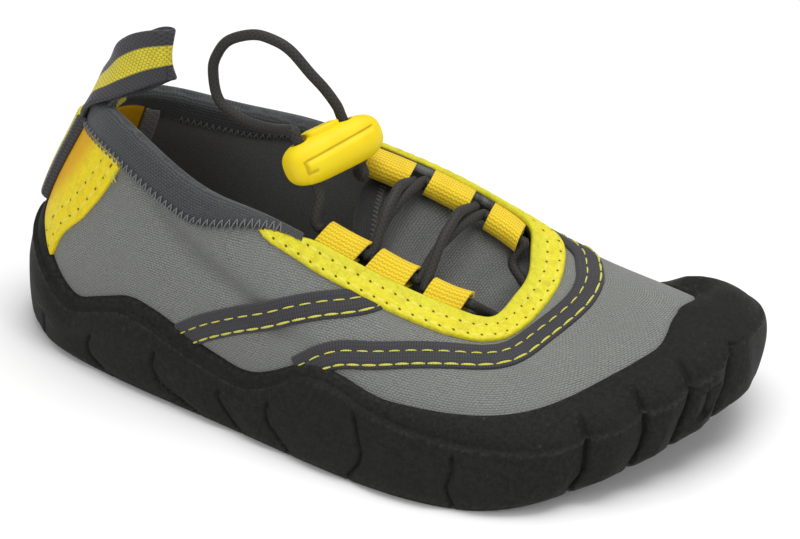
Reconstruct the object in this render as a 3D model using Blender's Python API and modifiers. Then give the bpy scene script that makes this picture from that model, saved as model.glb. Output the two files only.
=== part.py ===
"""Child's right water shoe: moulded rubber cup sole, neoprene upper, bungee lace with a cord lock.

Tables are in millimetres, the scene is in metres. +X runs from heel to toe, +Y to the
medial (big toe) side and +Z up. The origin is under the middle of the sole, on the floor.
A place on the upper is (station, rise): stations count the ribs round the foot from the heel
back along the lateral side, and the rise goes from 0 at the feather line to 1 at the top edge.
"""

import bmesh
import bpy
import numpy as np

MM = 0.001
UP = np.array([0.0, 0.0, 1.0])

# Driving sizes
LENGTH = 190.0
BALL_WIDTH = 80.0
HEEL_HEIGHT = 61.5
UPPER_WALL = 2.5
SOLE_FLOOR = 4.0
INSOLE_THICKNESS = 3.0
GAP = 0.3
SHARP_ANGLE = 40

# Tread: toe spring, lifted heel edge and medial arch
TOE_SPRING = 12.5
TOE_SPRING_START = 142.0
TOE_SPRING_POWER = 1.6
HEEL_LIFT = 2.5
HEEL_LIFT_START = 20.0
HEEL_LIFT_LENGTH = 14.0
ARCH_HEIGHT = 1.5
ARCH_MIDDLE = 82.0
ARCH_LENGTH = 56.0

# Each rib of the upper: foot on the feather line, top edge, and the two handles of its curve.
# x is in hundredths of LENGTH, y of BALL_WIDTH and z of HEEL_HEIGHT. Flare and tuck are degrees
# from upright, rise and draw are handle lengths, flange is how far the sole stands out below.
RIB_COLUMNS = ("foot_x", "foot_y", "edge_x", "edge_y", "edge_z",
               "flare", "rise", "tuck", "draw", "flange")
RIBS = {
    "heel_back":       (5.5, 1.0, 14.5, 0.0, 100.0, 12, 24, 24, 20, 4.0),
    "heel_lat_back":   (8.5, -14.5, 17.5, -8.5, 100.5, 12, 24, 24, 20, 4.0),
    "heel_lat":        (15.5, -24.0, 24.0, -17.0, 97.0, 10, 22, 24, 20, 4.5),
    "waist_lat_rear":  (27.5, -31.0, 33.5, -22.5, 86.0, 8, 20, 30, 18, 5.0),
    "waist_lat":       (42.0, -38.0, 43.0, -22.0, 80.0, 6, 18, 38, 18, 5.0),
    "ball_lat_rear":   (57.0, -45.5, 55.0, -17.0, 63.5, 6, 14, 52, 18, 5.0),
    "ball_lat":        (69.0, -48.0, 63.5, -14.5, 54.5, 6, 13, 64, 18, 5.0),
    "little_toe":      (78.0, -43.0, 69.0, -10.5, 49.0, 8, 14, 70, 20, 5.0),
    "fourth_toe":      (84.5, -32.5, 71.0, -5.0, 47.5, 12, 15, 74, 22, 4.5),
    "toe_lat":         (90.5, -18.5, 71.5, 2.5, 49.0, 16, 17, 78, 24, 4.0),
    "toe_tip":         (95.5, -1.0, 72.0, 10.0, 52.0, 20, 19, 82, 27, 3.5),
    "big_toe_tip":     (98.0, 16.5, 71.5, 16.5, 55.5, 22, 20, 82, 29, 3.5),
    "toe_med":         (97.0, 30.5, 70.5, 22.0, 59.0, 20, 17, 74, 24, 3.5),
    "big_toe_med":     (90.5, 40.5, 69.0, 26.5, 64.0, 12, 13, 66, 18, 4.0),
    "ball_med_front":  (80.0, 43.5, 64.0, 27.5, 71.0, 6, 13, 60, 15, 4.5),
    "ball_med":        (68.5, 42.5, 57.0, 25.0, 80.5, 4, 16, 54, 18, 5.0),
    "waist_med_front": (53.5, 33.0, 48.5, 21.0, 89.5, 2, 18, 40, 18, 5.0),
    "waist_med":       (38.0, 28.0, 38.5, 22.5, 92.0, 4, 20, 26, 18, 5.0),
    "heel_med_front":  (23.0, 29.0, 29.5, 22.0, 92.5, 8, 22, 24, 18, 4.5),
    "heel_med":        (13.0, 25.0, 22.0, 16.5, 97.5, 10, 24, 22, 20, 4.0),
    "heel_med_back":   (7.5, 15.0, 16.5, 8.5, 100.5, 12, 24, 24, 20, 4.0),
}
RIB_UNITS = (LENGTH / 100, BALL_WIDTH / 100, LENGTH / 100, BALL_WIDTH / 100, HEEL_HEIGHT / 100,
             1, 1, 1, 1, 1)
RIB_COUNT = len(RIBS)
TOE_STATION = 11.2
UPPER_STATIONS = 63
UPPER_RISES = 9

# Top of the rubber, as a rise at each station, and how far the stepped lip lies below it
RIM_COLUMNS = ("station", "rise", "lip_drop")
RIM = (
    (0.0, 0.45, 6.0), (0.9, 0.37, 5.0), (1.3, 0.30, 4.0), (1.65, 0.235, 3.5), (2.0, 0.19, 3.0),
    (2.35, 0.26, 3.5), (2.75, 0.35, 4.0), (3.1, 0.33, 4.0), (3.6, 0.255, 3.5), (4.05, 0.21, 3.0),
    (4.25, 0.26, 3.5), (4.65, 0.45, 4.0), (4.95, 0.465, 4.0), (5.4, 0.42, 5.0), (6.0, 0.435, 7.5),
    (7.0, 0.465, 10.5), (8.0, 0.475, 12.5), (9.0, 0.48, 14.5), (10.0, 0.475, 15.5), (10.6, 0.53, 17.5),
    (11.1, 0.535, 19.0), (11.7, 0.47, 17.0), (12.25, 0.42, 14.0), (12.7, 0.45, 13.5),
    (13.2, 0.40, 10.5), (14.3, 0.40, 8.0), (15.2, 0.40, 5.5), (15.9, 0.40, 4.5),
    (16.4, 0.30, 3.5), (16.8, 0.22, 3.0), (17.3, 0.27, 3.5), (18.0, 0.35, 4.0),
    (18.6, 0.27, 3.5), (19.0, 0.20, 3.0), (19.5, 0.27, 4.0), (20.1, 0.37, 5.0),
)

# Creases down the side of the sole, each carried on under it as a flex groove
CREASE_COLUMNS = ("station", "half_width", "depth", "bow_middle", "bow_foot")
CREASES = (
    (1.45, 1.0, 1.2, 0.0, -1.0), (2.38, 1.0, 1.4, -3.5, 6.0), (3.18, 1.0, 1.4, -2.5, 8.0),
    (3.87, 1.0, 1.4, -1.0, 6.5), (4.39, 1.0, 1.4, -2.0, 6.0), (5.17, 1.0, 1.4, 4.2, 0.5),
    (6.38, 1.0, 1.4, -0.6, 0.0), (8.30, 1.8, 2.0, 0.8, -5.8), (9.17, 2.2, 2.4, 1.4, -4.2),
    (9.92, 2.4, 2.3, 1.8, -6.5), (10.75, 2.4, 1.7, 1.8, -8.0),
)

# Sole: walls of the cup, levels of its side, swell of its lobes and toe pods
RIM_WALL = 1.8
TOE_CAP_WALL = 3.0
TOE_CAP_ENDS = (6.5, 14.5)
TOE_CAP_BLEND = 1.5
BIG_TOE_END = 14.0
BIG_TOE_SWELL = 0.5
LIP_STEP = 1.3
LIP_LEVELS = (0.08, 0.4, 0.74, 1.0)
LIP_FADE = (0.75, 0.65)
CAP_CREASE = 0.4
CUP_LEVELS = (1.0, 0.62, 0.28)
CUP_EASE = 0.35
CUP_REST = 0.8
SIDE_LEVELS = (0.2, 0.48, 0.8)
COLUMN_SPACING = 0.7
SIDE_HANDLE = 0.35
SIDE_BULGE = 0.7
LOBE_SWELL = 0.7
CREASE_SHOULDER = 0.45
TOE_POD_SWELL = 1.6
BOTTOM_CHAMFER = 1.2
# Toe bumper: thicker rubber round the big toe, as the middle station, half length and thickness
TOE_BUMPER = (12.6, 0.8, 5.6)
CREASE_UNDERCUT = 0.6
FLEX_GROOVE = 1.2
FOOTBED_POINTS = 2

# Insole: a flat sock from heel to toe
INSOLE_STATIONS = (0.5, TOE_STATION - 0.4)
INSOLE_GRID = (18, 4)

# Gusset tongue: lines across it from the vamp back to its free rear edge. It lies deeper in front,
# where the cord runs between it and the vamp.
TONGUE_COLUMNS = ("lateral", "medial", "depth")
TONGUE_LINES = (
    (9.35, 10.45, 4.8), (8.7, 11.2, 4.8), (7.9, 12.0, 5.0), (7.1, 12.75, 5.0), (6.4, 13.4, 4.2),
    (5.8, 14.0, 3.5), (5.3, 14.55, 3.5), (4.9, 15.05, 3.1), (4.62, 15.5, 3.4), (4.4, 15.85, 3.6),
)
TONGUE_THICKNESS = 2.0
TONGUE_TUCK = 0.82
TONGUE_REACH = 0.36
TONGUE_LEVEL = 0.55
TONGUE_POINTS = 11
TONGUE_BINDING_SHARES = (0.1, 0.9)
TONGUE_BINDING_SECTIONS = 11
TONGUE_BINDING_OUTER = 9.0
TONGUE_BINDING_INNER = 6.0
TONGUE_BINDING_CLEAR = 0.6

# Collar binding: tape folded over the edge, narrower beside the eyestay
BINDING_TAPE = 1.2
BINDING_OUTER = 8.5
BINDING_INNER = 7.0
BINDING_NARROW = 3.0
BINDING_INNER_NARROW = 2.0
BINDING_CLEAR = 0.55
BINDING_CROWN = 1.9
COLLAR_ENDS = (16.35, 4.42)
COLLAR_NARROWS = (17.5, 3.2)
COLLAR_NARROWING = 0.6
COLLAR_SECTIONS = 30

# Overlays sewn on the upper. Distances of the eyestay's edges are measured down from the top edge,
# and its front overhangs that edge a little.
OVERLAY_LIFT = 0.45
OVERLAY_RIM_GAP = 0.012
EYESTAY_THICKNESS = 1.1
EYESTAY_COLUMNS = ("station", "outer", "inner")
EYESTAY = (
    (3.98, 4.2, 3.7), (4.1, 4.9, 3.7), (4.3, 5.7, 3.7), (4.46, 6.2, 3.7), (4.52, 6.3, -0.8),
    (5.0, 6.6, -0.8), (6.0, 6.8, -0.8), (7.0, 6.4, -0.8), (8.0, 6.2, -0.8), (11.0, 6.2, -0.8),
    (13.0, 6.6, -0.8), (15.0, 6.6, -0.8), (16.24, 6.3, -0.8), (16.3, 6.2, 3.7), (16.45, 5.8, 3.7),
    (16.65, 5.1, 3.7), (16.85, 4.2, 3.7),
)
EYESTAY_STEP = 0.42
RIBBON_WIDTH = 7.0
RIBBON_THICKNESS = 0.9
RIBBON_STEPS = 1.5
STRIPES = {
    "stripe_front": ((4.78, 0.50), (4.95, 0.565), (5.2, 0.615), (5.7, 0.695), (6.3, 0.755), (6.9, 0.79),
                     (7.6, 0.815), (8.4, 0.83), (9.2, 0.83), (10.1, 0.83), (11.0, 0.83), (11.8, 0.815),
                     (12.5, 0.79), (13.2, 0.76), (13.9, 0.73), (14.6, 0.69), (15.2, 0.63), (15.7, 0.57),
                     (15.95, 0.51)),
    "stripe_side_lateral": ((3.58, 0.335), (3.72, 0.39), (3.95, 0.475), (4.2, 0.565), (4.45, 0.67),
                            (4.68, 0.755), (4.88, 0.80)),
    "stripe_side_medial": ((17.3, 0.35), (17.1, 0.42), (16.85, 0.50), (16.55, 0.585), (16.25, 0.66),
                           (15.95, 0.735), (15.72, 0.78)),
}

# Heel counter: its lower edge at stations either side of the heel back, and the patch over it
COUNTER_THICKNESS = 1.0
COUNTER_POINTS = 4
COUNTER_COLUMNS = ("station", "rise")
COUNTER_EDGE = (
    (0.0, 0.47), (0.25, 0.46), (0.5, 0.445), (0.7, 0.42), (0.9, 0.395), (1.08, 0.36), (1.2, 0.335),
    (1.32, 0.36), (1.5, 0.48), (1.7, 0.60), (1.82, 0.72), (1.9, 0.80),
)
PATCH_HALF_STATION = 0.42
PATCH_RISES = (0.50, 0.83)
PATCH_GRID = (5, 6)
PATCH_THICKNESS = 1.6

# Pull loop: middle of the tape and the way its width points, from outside the heel round the fold. The
# first rows stand off the collar binding, and the tape ends on its top.
PULL_TAPE_WIDTH = 13.0
PULL_TAPE = 1.2
PULL_COLUMNS = ("x", "y", "z", "width_x", "width_y", "width_z")
PULL_PATH = (
    (21.5, 0.6, 55.6, -0.15, 1.0, 0.0),
    (24.1, 0.6, 60.9, -0.15, 1.0, 0.0),
    (26.2, 0.0, 65.2, -0.15, 1.0, 0.25),
    (30.4, -1.4, 68.6, 0.1, 0.75, 0.65),
    (35.0, -2.9, 72.8, 0.35, 0.25, 0.9),
    (41.0, -3.2, 75.8, 0.28, 0.05, 1.0),
    (45.2, -2.4, 77.2, 0.2, 0.0, 1.0),
    (46.9, 0.0, 77.0, 0.18, 0.0, 1.0),
    (45.2, 2.4, 75.6, 0.2, 0.0, 1.0),
    (41.0, 3.2, 72.9, 0.25, -0.05, 1.0),
    (36.8, 3.2, 70.0, 0.1, -0.3, 0.95),
    (33.6, 1.6, 68.4, -0.2, -0.8, 0.5),
    (31.0, 0.2, 66.2, 0.0, -1.0, 0.0),
)
PULL_STEPS = 2

# Webbing loops that carry the cord: stations of their rear and front ends along the throat edge, the
# distances of the bore and of the tail from that edge, and how far the cord runs straight beyond
LOOP_COLUMNS = ("rear", "front", "reach", "tail", "lead")
LACE_LOOPS = {
    "lace_loop_lateral_1": (4.44, 4.76, 5.6, 1.7, 1.9), "lace_loop_lateral_2": (5.03, 5.46, 5.6, 1.5, 1.9),
    "lace_loop_lateral_3": (5.78, 6.48, 5.6, 1.5, 2.2), "lace_loop_medial_1": (15.82, 15.42, 7.4, 3.2, 2.8),
    "lace_loop_medial_2": (14.84, 14.40, 6.5, 3.2, 2.8), "lace_loop_medial_3": (13.86, 13.10, 7.4, 3.2, 2.8),
}
LOOP_RISE = 0.5
LOOP_DROOP = 0.35
LOOP_BORE = 2.25
LOOP_TAPE = 0.8
LOOP_SIDES = 12
LOOP_TAIL_COS = -0.8
LOOP_TAIL_DROP = 0.6
LOOP_TAIL_FLAT = 0.4

# Cord: a crossing lace through the loops, and the free stretch that runs through the cord lock
CORD_RADIUS = 1.35
LACE_POINTS = 70
STRAND_LIFT = 3.6
OVER_LIFT = 3.0
STRAND_SHARES = (0.3, 0.5, 0.7)
# The lace in front of the throat, under the vamp's edge: station, rise and depth under the wall
VAMP_COLUMNS = ("station", "rise", "down")
VAMP_RUN = ((7.9, 1.06, 0.6), (8.6, 0.985, 2.1), (9.3, 0.955, 2.3), (10.0, 0.985, 2.0), (10.8, 1.06, 0.4))
# Free cord by hand: up from the lateral loop, the loop above the lock, and down to the medial loop
CORD_STRETCHES = {
    "cord_strand_lateral": (
        (91.8, -10.4, 45.4), (90.9, -10.6, 45.9), (90.1, -10.6, 47.2), (90.2, -10.0, 49.6),
        (90.6, -8.9, 52.4), (89.8, -8.2, 54.6),
    ),
    "cord_loop": (
        (89.3, 6.0, 66.8), (88.2, 5.9, 69.4), (85.6, 5.0, 73.6), (82.3, 4.2, 77.4), (77.3, 4.0, 82.4),
        (72.6, 4.0, 84.3), (67.6, 4.0, 84.5), (61.4, 3.8, 81.9), (58.4, 3.2, 78.0), (57.4, 2.5, 73.6),
        (59.5, 1.0, 67.0), (65.8, -0.5, 64.2), (71.0, -1.8, 64.1), (76.1, -3.2, 64.9), (80.4, -5.2, 66.6),
        (82.7, -6.0, 67.3), (83.6, -6.3, 65.9),
    ),
    "cord_strand_medial": (
        (93.9, 10.4, 51.0), (92.9, 10.2, 51.2), (92.2, 9.0, 51.6), (93.2, 6.8, 52.0), (95.3, 4.5, 52.6),
        (96.2, 3.8, 54.1), (95.5, 4.1, 55.4),
    ),
}
CORD_SPACING = 3.8

# Cord lock
LOCK_MIDDLE = np.array([90.0, 0.0, 60.9])
LOCK_AXIS = np.array([0.42, 0.91, 0.07])
LOCK_UP = np.array([-0.45, 0.20, 0.87])
LOCK_SIZE = (27.0, 10.0, 11.0)
LOCK_SECTIONS = 13
LOCK_SIDES = 14
LOCK_ROUNDING = (0.66, 0.38, 0.8)
BUTTON_SIZE = (9.0, 4.2, 1.4)
BUTTON_MIDDLE = -1.2
BUTTON_SIDES = 12
BUTTON_ROUNDING = 0.5
BUTTON_LEVELS = ((0.0, 1.0), (0.7, 1.0), (1.0, 0.8))

COLOURS = {
    "rubber": ((0.020, 0.020, 0.019), 0.55),
    "neoprene": ((0.205, 0.212, 0.195), 0.85),
    "lining": ((0.07, 0.075, 0.08), 0.9),
    "binding": ((0.062, 0.065, 0.07), 0.85),
    "facing": ((0.80, 0.70, 0.035), 0.6),
    "ribbon": ((0.045, 0.043, 0.05), 0.8),
    "webbing": ((0.90, 0.58, 0.02), 0.7),
    "cord": ((0.03, 0.028, 0.024), 0.75),
    "plastic": ((0.90, 0.62, 0.012), 0.35),
}


def periodic_spline(values):
    """Closed cubic curve through evenly numbered rows of values."""
    values = np.asarray(values, float)
    count = len(values)
    matrix = 4 * np.eye(count) + np.roll(np.eye(count), 1, 1) + np.roll(np.eye(count), -1, 1)
    slopes = np.linalg.solve(matrix, 3 * (np.roll(values, -1, 0) - np.roll(values, 1, 0)))

    def at(station):
        station = np.mod(np.asarray(station, float), count)
        low = np.floor(station).astype(int) % count
        high = (low + 1) % count
        w = (station - np.floor(station))[..., None]
        return ((2 * w**3 - 3 * w**2 + 1) * values[low] + (w**3 - 2 * w**2 + w) * slopes[low]
                + (3 * w**2 - 2 * w**3) * values[high] + (w**3 - w**2) * slopes[high])

    return at


rib_at = periodic_spline(np.array(list(RIBS.values())) * RIB_UNITS)


def smooth(x):
    x = np.clip(x, 0, 1)
    return x * x * (3 - 2 * x)


def unit(vectors):
    return vectors / np.linalg.norm(vectors, axis=-1, keepdims=True)


def power(values, exponent):
    """Signed power, which squares off or softens a circle."""
    return np.sign(values) * np.abs(values) ** exponent


def upright(xy, z=0.0):
    """Plan vectors with a height added."""
    return np.concatenate([xy, np.broadcast_to(np.asarray(z)[..., None], xy.shape[:-1] + (1,))], -1)


def bezier(t, start, first, second, end):
    """Cubic curve from start to end with two handles."""
    return (1 - t) ** 3 * start + 3 * (1 - t) ** 2 * t * first + 3 * (1 - t) * t**2 * second + t**3 * end


def toe_spring(x):
    share = np.clip((x - TOE_SPRING_START) / (LENGTH - TOE_SPRING_START), 0, 1.1)
    return TOE_SPRING * share**TOE_SPRING_POWER


def ground(x, side):
    """Height of the tread: toe spring, rounded heel and an arch on the medial side (side 1)."""
    heel = HEEL_LIFT * np.clip((HEEL_LIFT_START - x) / HEEL_LIFT_LENGTH, 0, 1) ** 1.5
    arch = np.cos(np.pi * np.clip((x - ARCH_MIDDLE) / ARCH_LENGTH, -0.5, 0.5)) ** 2
    return toe_spring(x) + heel + ARCH_HEIGHT * arch * (0.5 + 0.5 * side)


def plan_normal(station):
    """Outward direction of the feather line, seen from above."""
    step = 1e-3
    along = (rib_at(station + step) - rib_at(station - step))[..., :2]
    return unit(np.stack([along[..., 1], -along[..., 0]], -1))


def last(station, rise):
    """The upper's outer face: each rib is a cubic curve from the feather line to the edge."""
    station, rise = np.broadcast_arrays(np.asarray(station, float), np.asarray(rise, float))
    rib = dict(zip(RIB_COLUMNS, np.moveaxis(rib_at(station), -1, 0)))
    foot_xy = np.stack([rib["foot_x"], rib["foot_y"]], -1)
    foot = upright(foot_xy, SOLE_FLOOR + GAP + toe_spring(rib["foot_x"]))
    edge = np.stack([rib["edge_x"], rib["edge_y"], rib["edge_z"]], -1)
    outward = upright(unit(foot[..., :2] - edge[..., :2]))
    flare, tuck = np.radians(rib["flare"])[..., None], np.radians(rib["tuck"])[..., None]
    sole_out = upright(plan_normal(station))
    lower = foot + rib["rise"][..., None] * (np.sin(flare) * sole_out + np.cos(flare) * UP)
    upper = edge + rib["draw"][..., None] * (np.sin(tuck) * outward - np.cos(tuck) * UP)
    return bezier(rise[..., None], foot, lower, upper, edge)


def last_slopes(station, rise):
    """Change of the last's surface with station and with rise."""
    step = 1e-3
    round_foot = (last(station + step, rise) - last(station - step, rise)) / (2 * step)
    up_rib = (last(station, rise + step) - last(station, rise - step)) / (2 * step)
    return round_foot, up_rib


def last_normal(station, rise):
    round_foot, up_rib = last_slopes(np.asarray(station, float), np.asarray(rise, float))
    return unit(np.cross(round_foot, up_rib))


def over_last(station, rise, height):
    """Points that stand this height off the upper's outer face."""
    return last(station, rise) + last_normal(station, rise) * np.asarray(height, float)[..., None]


def below_edge(station, distance):
    """Rise of a place this many millimetres down the rib from the top edge."""
    speed = np.linalg.norm(last_slopes(station, np.ones_like(station))[1], axis=-1)
    return 1.0 - distance / speed


def rib_length(station):
    rise = np.linspace(0, 1, 13)
    points = last(np.asarray(station, float)[..., None], rise)
    return np.linalg.norm(np.diff(points, axis=-2), axis=-1).sum(-1)


def rim_column(name, station):
    """A column of the rim table, read at any station and softened at its corners."""
    stations = np.array([row[0] for row in RIM])
    values = np.array([row[RIM_COLUMNS.index(name)] for row in RIM])
    stations = np.concatenate([stations - RIB_COUNT, stations, stations + RIB_COUNT])
    near = np.linspace(-0.12, 0.12, 7)
    station = np.mod(np.asarray(station, float), RIB_COUNT)
    return np.interp(station[..., None] + near, stations, np.tile(values, 3)).mean(-1)


def lip_rise(station):
    return rim_column("rise", station) - rim_column("lip_drop", station) / rib_length(station)


def toe_share(station):
    """1 round the toe, 0 along the waist and heel."""
    station = np.mod(station, RIB_COUNT)
    first, second = TOE_CAP_ENDS
    return smooth((station - first) / TOE_CAP_BLEND) * smooth((second - station) / TOE_CAP_BLEND)


def bumper(station):
    """Extra thickness of the toe cap round the big toe, a bell over the stations."""
    middle, half, thickness = TOE_BUMPER
    return thickness * np.exp(-((np.mod(station, RIB_COUNT) - middle) / half) ** 2)


def medial_partner(station):
    """The medial station that lies straight across from a lateral one."""
    stations = np.linspace(TOE_STATION, RIB_COUNT, 200)
    return np.interp(-rib_at(station)[..., 0], -rib_at(stations)[:, 0], stations)


def sole_columns():
    """Stations of the sole's columns with their crease depth, lobe swell and bow.

    Lateral columns run from the heel back to the toe tip, and their medial partners back again. The
    big toe's own pod is smooth.
    """
    plain = dict(half_width=0, depth=0, bow_middle=0, bow_foot=0)
    creases = [dict(zip(CREASE_COLUMNS, row)) for row in CREASES]
    ends = [dict(station=0.0, **plain), *creases, dict(station=TOE_STATION, **plain)]
    rows = []
    for before, after in zip(ends, ends[1:]):
        plain_count = int(np.ceil((after["station"] - before["station"]) / COLUMN_SPACING))
        for share in np.linspace(0, 1, plain_count + 2)[1:-1]:
            station, *bows = (before[key] * (1 - share) + after[key] * share
                              for key in ("station", "bow_middle", "bow_foot"))
            rows.append((station, 0.0, 1.0, *bows))
        if after["depth"]:
            side = after["half_width"] / np.linalg.norm(last_slopes(after["station"], 0.1)[0])
            for offset, depth, swell in ((-side, 0.0, CREASE_SHOULDER), (0.0, after["depth"], 0.0),
                                         (side, 0.0, CREASE_SHOULDER)):
                rows.append((after["station"] + offset, depth, swell, after["bow_middle"], after["bow_foot"]))
    lateral = np.array(rows)
    medial = lateral[::-1].copy()
    medial[:, 0] = medial_partner(medial[:, 0])
    medial[:, 3:] *= -1
    medial[medial[:, 0] < BIG_TOE_END, 1:] = (0.0, BIG_TOE_SWELL, 0.0, 0.0)
    heel, toe = ([[station, 0.0, swell, 0.0, 0.0]]
                 for station, swell in ((0.0, 1.0), (TOE_STATION, BIG_TOE_SWELL)))
    return np.concatenate([heel, lateral, toe, medial])


def bottom_edge(station, inset=0.0, lift=0.0):
    """Outer edge of the tread under a station."""
    rib = rib_at(station)
    xy = rib[..., :2] + plan_normal(station) * (rib[..., -1] - inset)[..., None]
    side = np.where(np.mod(station, RIB_COUNT) > TOE_STATION, 1.0, -1.0)
    return upright(xy, ground(xy[..., 0], side) + lift)


def sole_rings():
    """Rings of points round the sole: up its outside, over the rim and down into the cup."""
    station, depth, swell, bow_middle, bow_foot = sole_columns().T
    toe = toe_share(station)
    rim, lip = rim_column("rise", station), lip_rise(station)
    wall = RIM_WALL + (TOE_CAP_WALL - RIM_WALL) * toe
    swelling = swell * (LOBE_SWELL + (TOE_POD_SWELL - LOBE_SWELL) * toe)
    speed = np.linalg.norm(last_slopes(station, np.full_like(station, 0.1))[0], axis=-1)
    undercut = CREASE_UNDERCUT * depth
    foot_station = station + bow_foot / speed
    rings = [bottom_edge(foot_station, inset=BOTTOM_CHAMFER + undercut),
             bottom_edge(foot_station, inset=undercut - swelling * toe / 2, lift=BOTTOM_CHAMFER)]
    for level in SIDE_LEVELS:
        at = station + (bow_foot * (1 - level) ** 2 + bow_middle * 4 * level * (1 - level)) / speed
        out = upright(plan_normal(at))
        foot = bottom_edge(at, lift=BOTTOM_CHAMFER)
        top = over_last(at, lip_rise(at), wall + LIP_STEP + bumper(at))
        handle = SIDE_HANDLE * (top - foot)[..., 2:] * UP
        bulge = out * (SIDE_BULGE + bumper(at) / 2)[:, None]
        side = bezier(level, foot, foot + handle + bulge, top - handle + bulge, top)
        fade = np.maximum(smooth((0.95 - level) / 0.3), toe)
        rings.append(side + out * (fade * (swelling - depth))[:, None])
    out = upright(plan_normal(station))
    for level in (0.0, *LIP_LEVELS):
        fade = toe * smooth((LIP_FADE[0] - level) / LIP_FADE[1])
        thick = wall + (RIM_WALL - wall) * level + bumper(station) * np.sqrt(1 - level ** 2)
        cap = over_last(station, lip + (rim - lip) * level, thick + (0.0 if level else LIP_STEP))
        rings.append(cap + out * (fade * (swelling - CAP_CREASE * depth))[:, None])
    clear = GAP + CUP_EASE * (CUP_REST + toe)
    rings += [over_last(station, rim * level, clear) for level in CUP_LEVELS]
    floor_xy = rib_at(station)[:, :2] + plan_normal(station) * clear[:, None]
    rings.append(upright(floor_xy, SOLE_FLOOR + toe_spring(floor_xy[:, 0])))
    return np.array(rings)


def plan_centre():
    """Middle of the sole's outline, which becomes the origin."""
    outline = sole_rings()[..., :2].reshape(-1, 2)
    return upright((outline.min(0) + outline.max(0)) / 2)


CENTRE = plan_centre()


def add_object(name, points, faces, collection, material, closed=True):
    """A mesh object from points in millimetres of the last."""
    mesh = bpy.data.meshes.new(name)
    mesh.from_pydata(((np.asarray(points) - CENTRE) * MM).tolist(), [], faces)
    mesh.materials.append(material)
    if closed:
        work = bmesh.new()
        work.from_mesh(mesh)
        bmesh.ops.recalc_face_normals(work, faces=work.faces)
        if work.calc_volume(signed=True) < 0:
            bmesh.ops.reverse_faces(work, faces=work.faces)
        work.to_mesh(mesh)
        work.free()
    mesh.shade_smooth()
    mesh.set_sharp_from_angle(angle=np.radians(SHARP_ANGLE))
    obj = bpy.data.objects.new(name, mesh)
    collection.objects.link(obj)
    return obj


def ring_faces(lower, upper):
    """Quads between two closed rings of point numbers."""
    return [(lower[i - 1], lower[i], upper[i], upper[i - 1]) for i in range(len(lower))]


def across_faces(ring, inner):
    """Faces that fill a closed ring with lines across it, each with its own inner points."""
    half = len(ring) // 2
    lines = [[ring[i], *inner[i - 1], ring[-i]] for i in range(1, half)]
    faces = []
    for first, second in zip(lines, lines[1:]):
        faces += [(first[k], first[k + 1], second[k + 1], second[k]) for k in range(len(first) - 1)]
    for point, line in ((ring[0], lines[0]), (ring[half], lines[-1])):
        faces += [(point, line[k], line[k + 1]) for k in range(len(line) - 1)]
    return faces


def loft(name, sections, collection, material, closed=False):
    """Closed solid through rings of points, capped at both ends unless it closes on itself."""
    count, around = sections.shape[:2]
    numbers = np.arange(count * around).reshape(count, around).tolist()
    faces = []
    for first, second in zip(numbers, numbers[1:] + (numbers[:1] if closed else [])):
        faces += ring_faces(first, second)
    if not closed:
        faces += [tuple(numbers[0]), tuple(numbers[-1])]
    return add_object(name, sections.reshape(-1, 3), faces, collection, material)


def sheet_solid(name, outer, inner, collection, material):
    """Closed solid between two sheets of points of the same shape."""
    rows, columns = outer.shape[:2]
    top = np.arange(rows * columns).reshape(rows, columns)
    faces = []
    for sheet in (top, top + rows * columns):
        quads = np.stack([sheet[:-1, :-1], sheet[:-1, 1:], sheet[1:, 1:], sheet[1:, :-1]], -1)
        faces += quads.reshape(-1, 4).tolist()
    border = np.concatenate([top[0, :-1], top[:-1, -1], top[-1, :0:-1], top[:0:-1, 0]])
    faces += ring_faces(border.tolist(), (border + rows * columns).tolist())
    points = np.concatenate([outer.reshape(-1, 3), inner.reshape(-1, 3)])
    return add_object(name, points, faces, collection, material)


def overlay(name, stations, rises, lift, thickness, collection, material):
    """Sheet of even thickness that lies off the upper's outer face."""
    stations, rises = np.broadcast_arrays(stations, rises)
    floor = np.full(rises.shape, lift)
    return sheet_solid(name, over_last(stations, rises, floor + thickness), over_last(stations, rises, floor),
                       collection, material)


def build_outsole(collection, material):
    """Cup sole: flat tread with flex grooves, creased side, stepped lip, rim and footbed."""
    rings = sole_rings()
    crease_depth = sole_columns()[:, 1]
    half = rings.shape[1] // 2
    points = list(rings.reshape(-1, 3))
    numbers = np.arange(len(points)).reshape(rings.shape[:2]).tolist()
    faces = []
    for lower, upper in zip(numbers, numbers[1:]):
        faces += ring_faces(lower, upper)
    shares = np.linspace(0, 1, FOOTBED_POINTS + 2)[1:-1, None]
    for ring, tread in ((numbers[0], True), (numbers[-1], False)):
        inner = []
        for i in range(1, half):
            line = points[ring[i]] * (1 - shares) + points[ring[-i]] * shares
            if tread:
                groove = FLEX_GROOVE if crease_depth[i] > 0 else 0.0
                line[:, 2] = ground(line[:, 0], 2 * shares[:, 0] - 1) + groove
            else:
                line[:, 2] = SOLE_FLOOR + toe_spring(line[:, 0])
            inner.append(list(range(len(points), len(points) + len(line))))
            points += list(line)
        faces += across_faces(ring, inner)
    return add_object("outsole", points, faces, collection, material)


def build_upper(collection, material):
    """Neoprene upper: one shell, open at collar and throat and open underneath."""
    stations = np.linspace(0, RIB_COUNT, UPPER_STATIONS, endpoint=False)
    rises = np.linspace(0, 1, UPPER_RISES)
    points = last(stations, rises[:, None])
    numbers = np.arange(points.size // 3).reshape(points.shape[:2]).tolist()
    faces = []
    for lower, upper in zip(numbers, numbers[1:]):
        faces += ring_faces(lower, upper)
    shell = add_object("upper", points.reshape(-1, 3), faces, collection, material, closed=False)
    wall = shell.modifiers.new("wall", "SOLIDIFY")
    wall.thickness = UPPER_WALL * MM
    wall.offset = -1.0
    return shell


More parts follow.
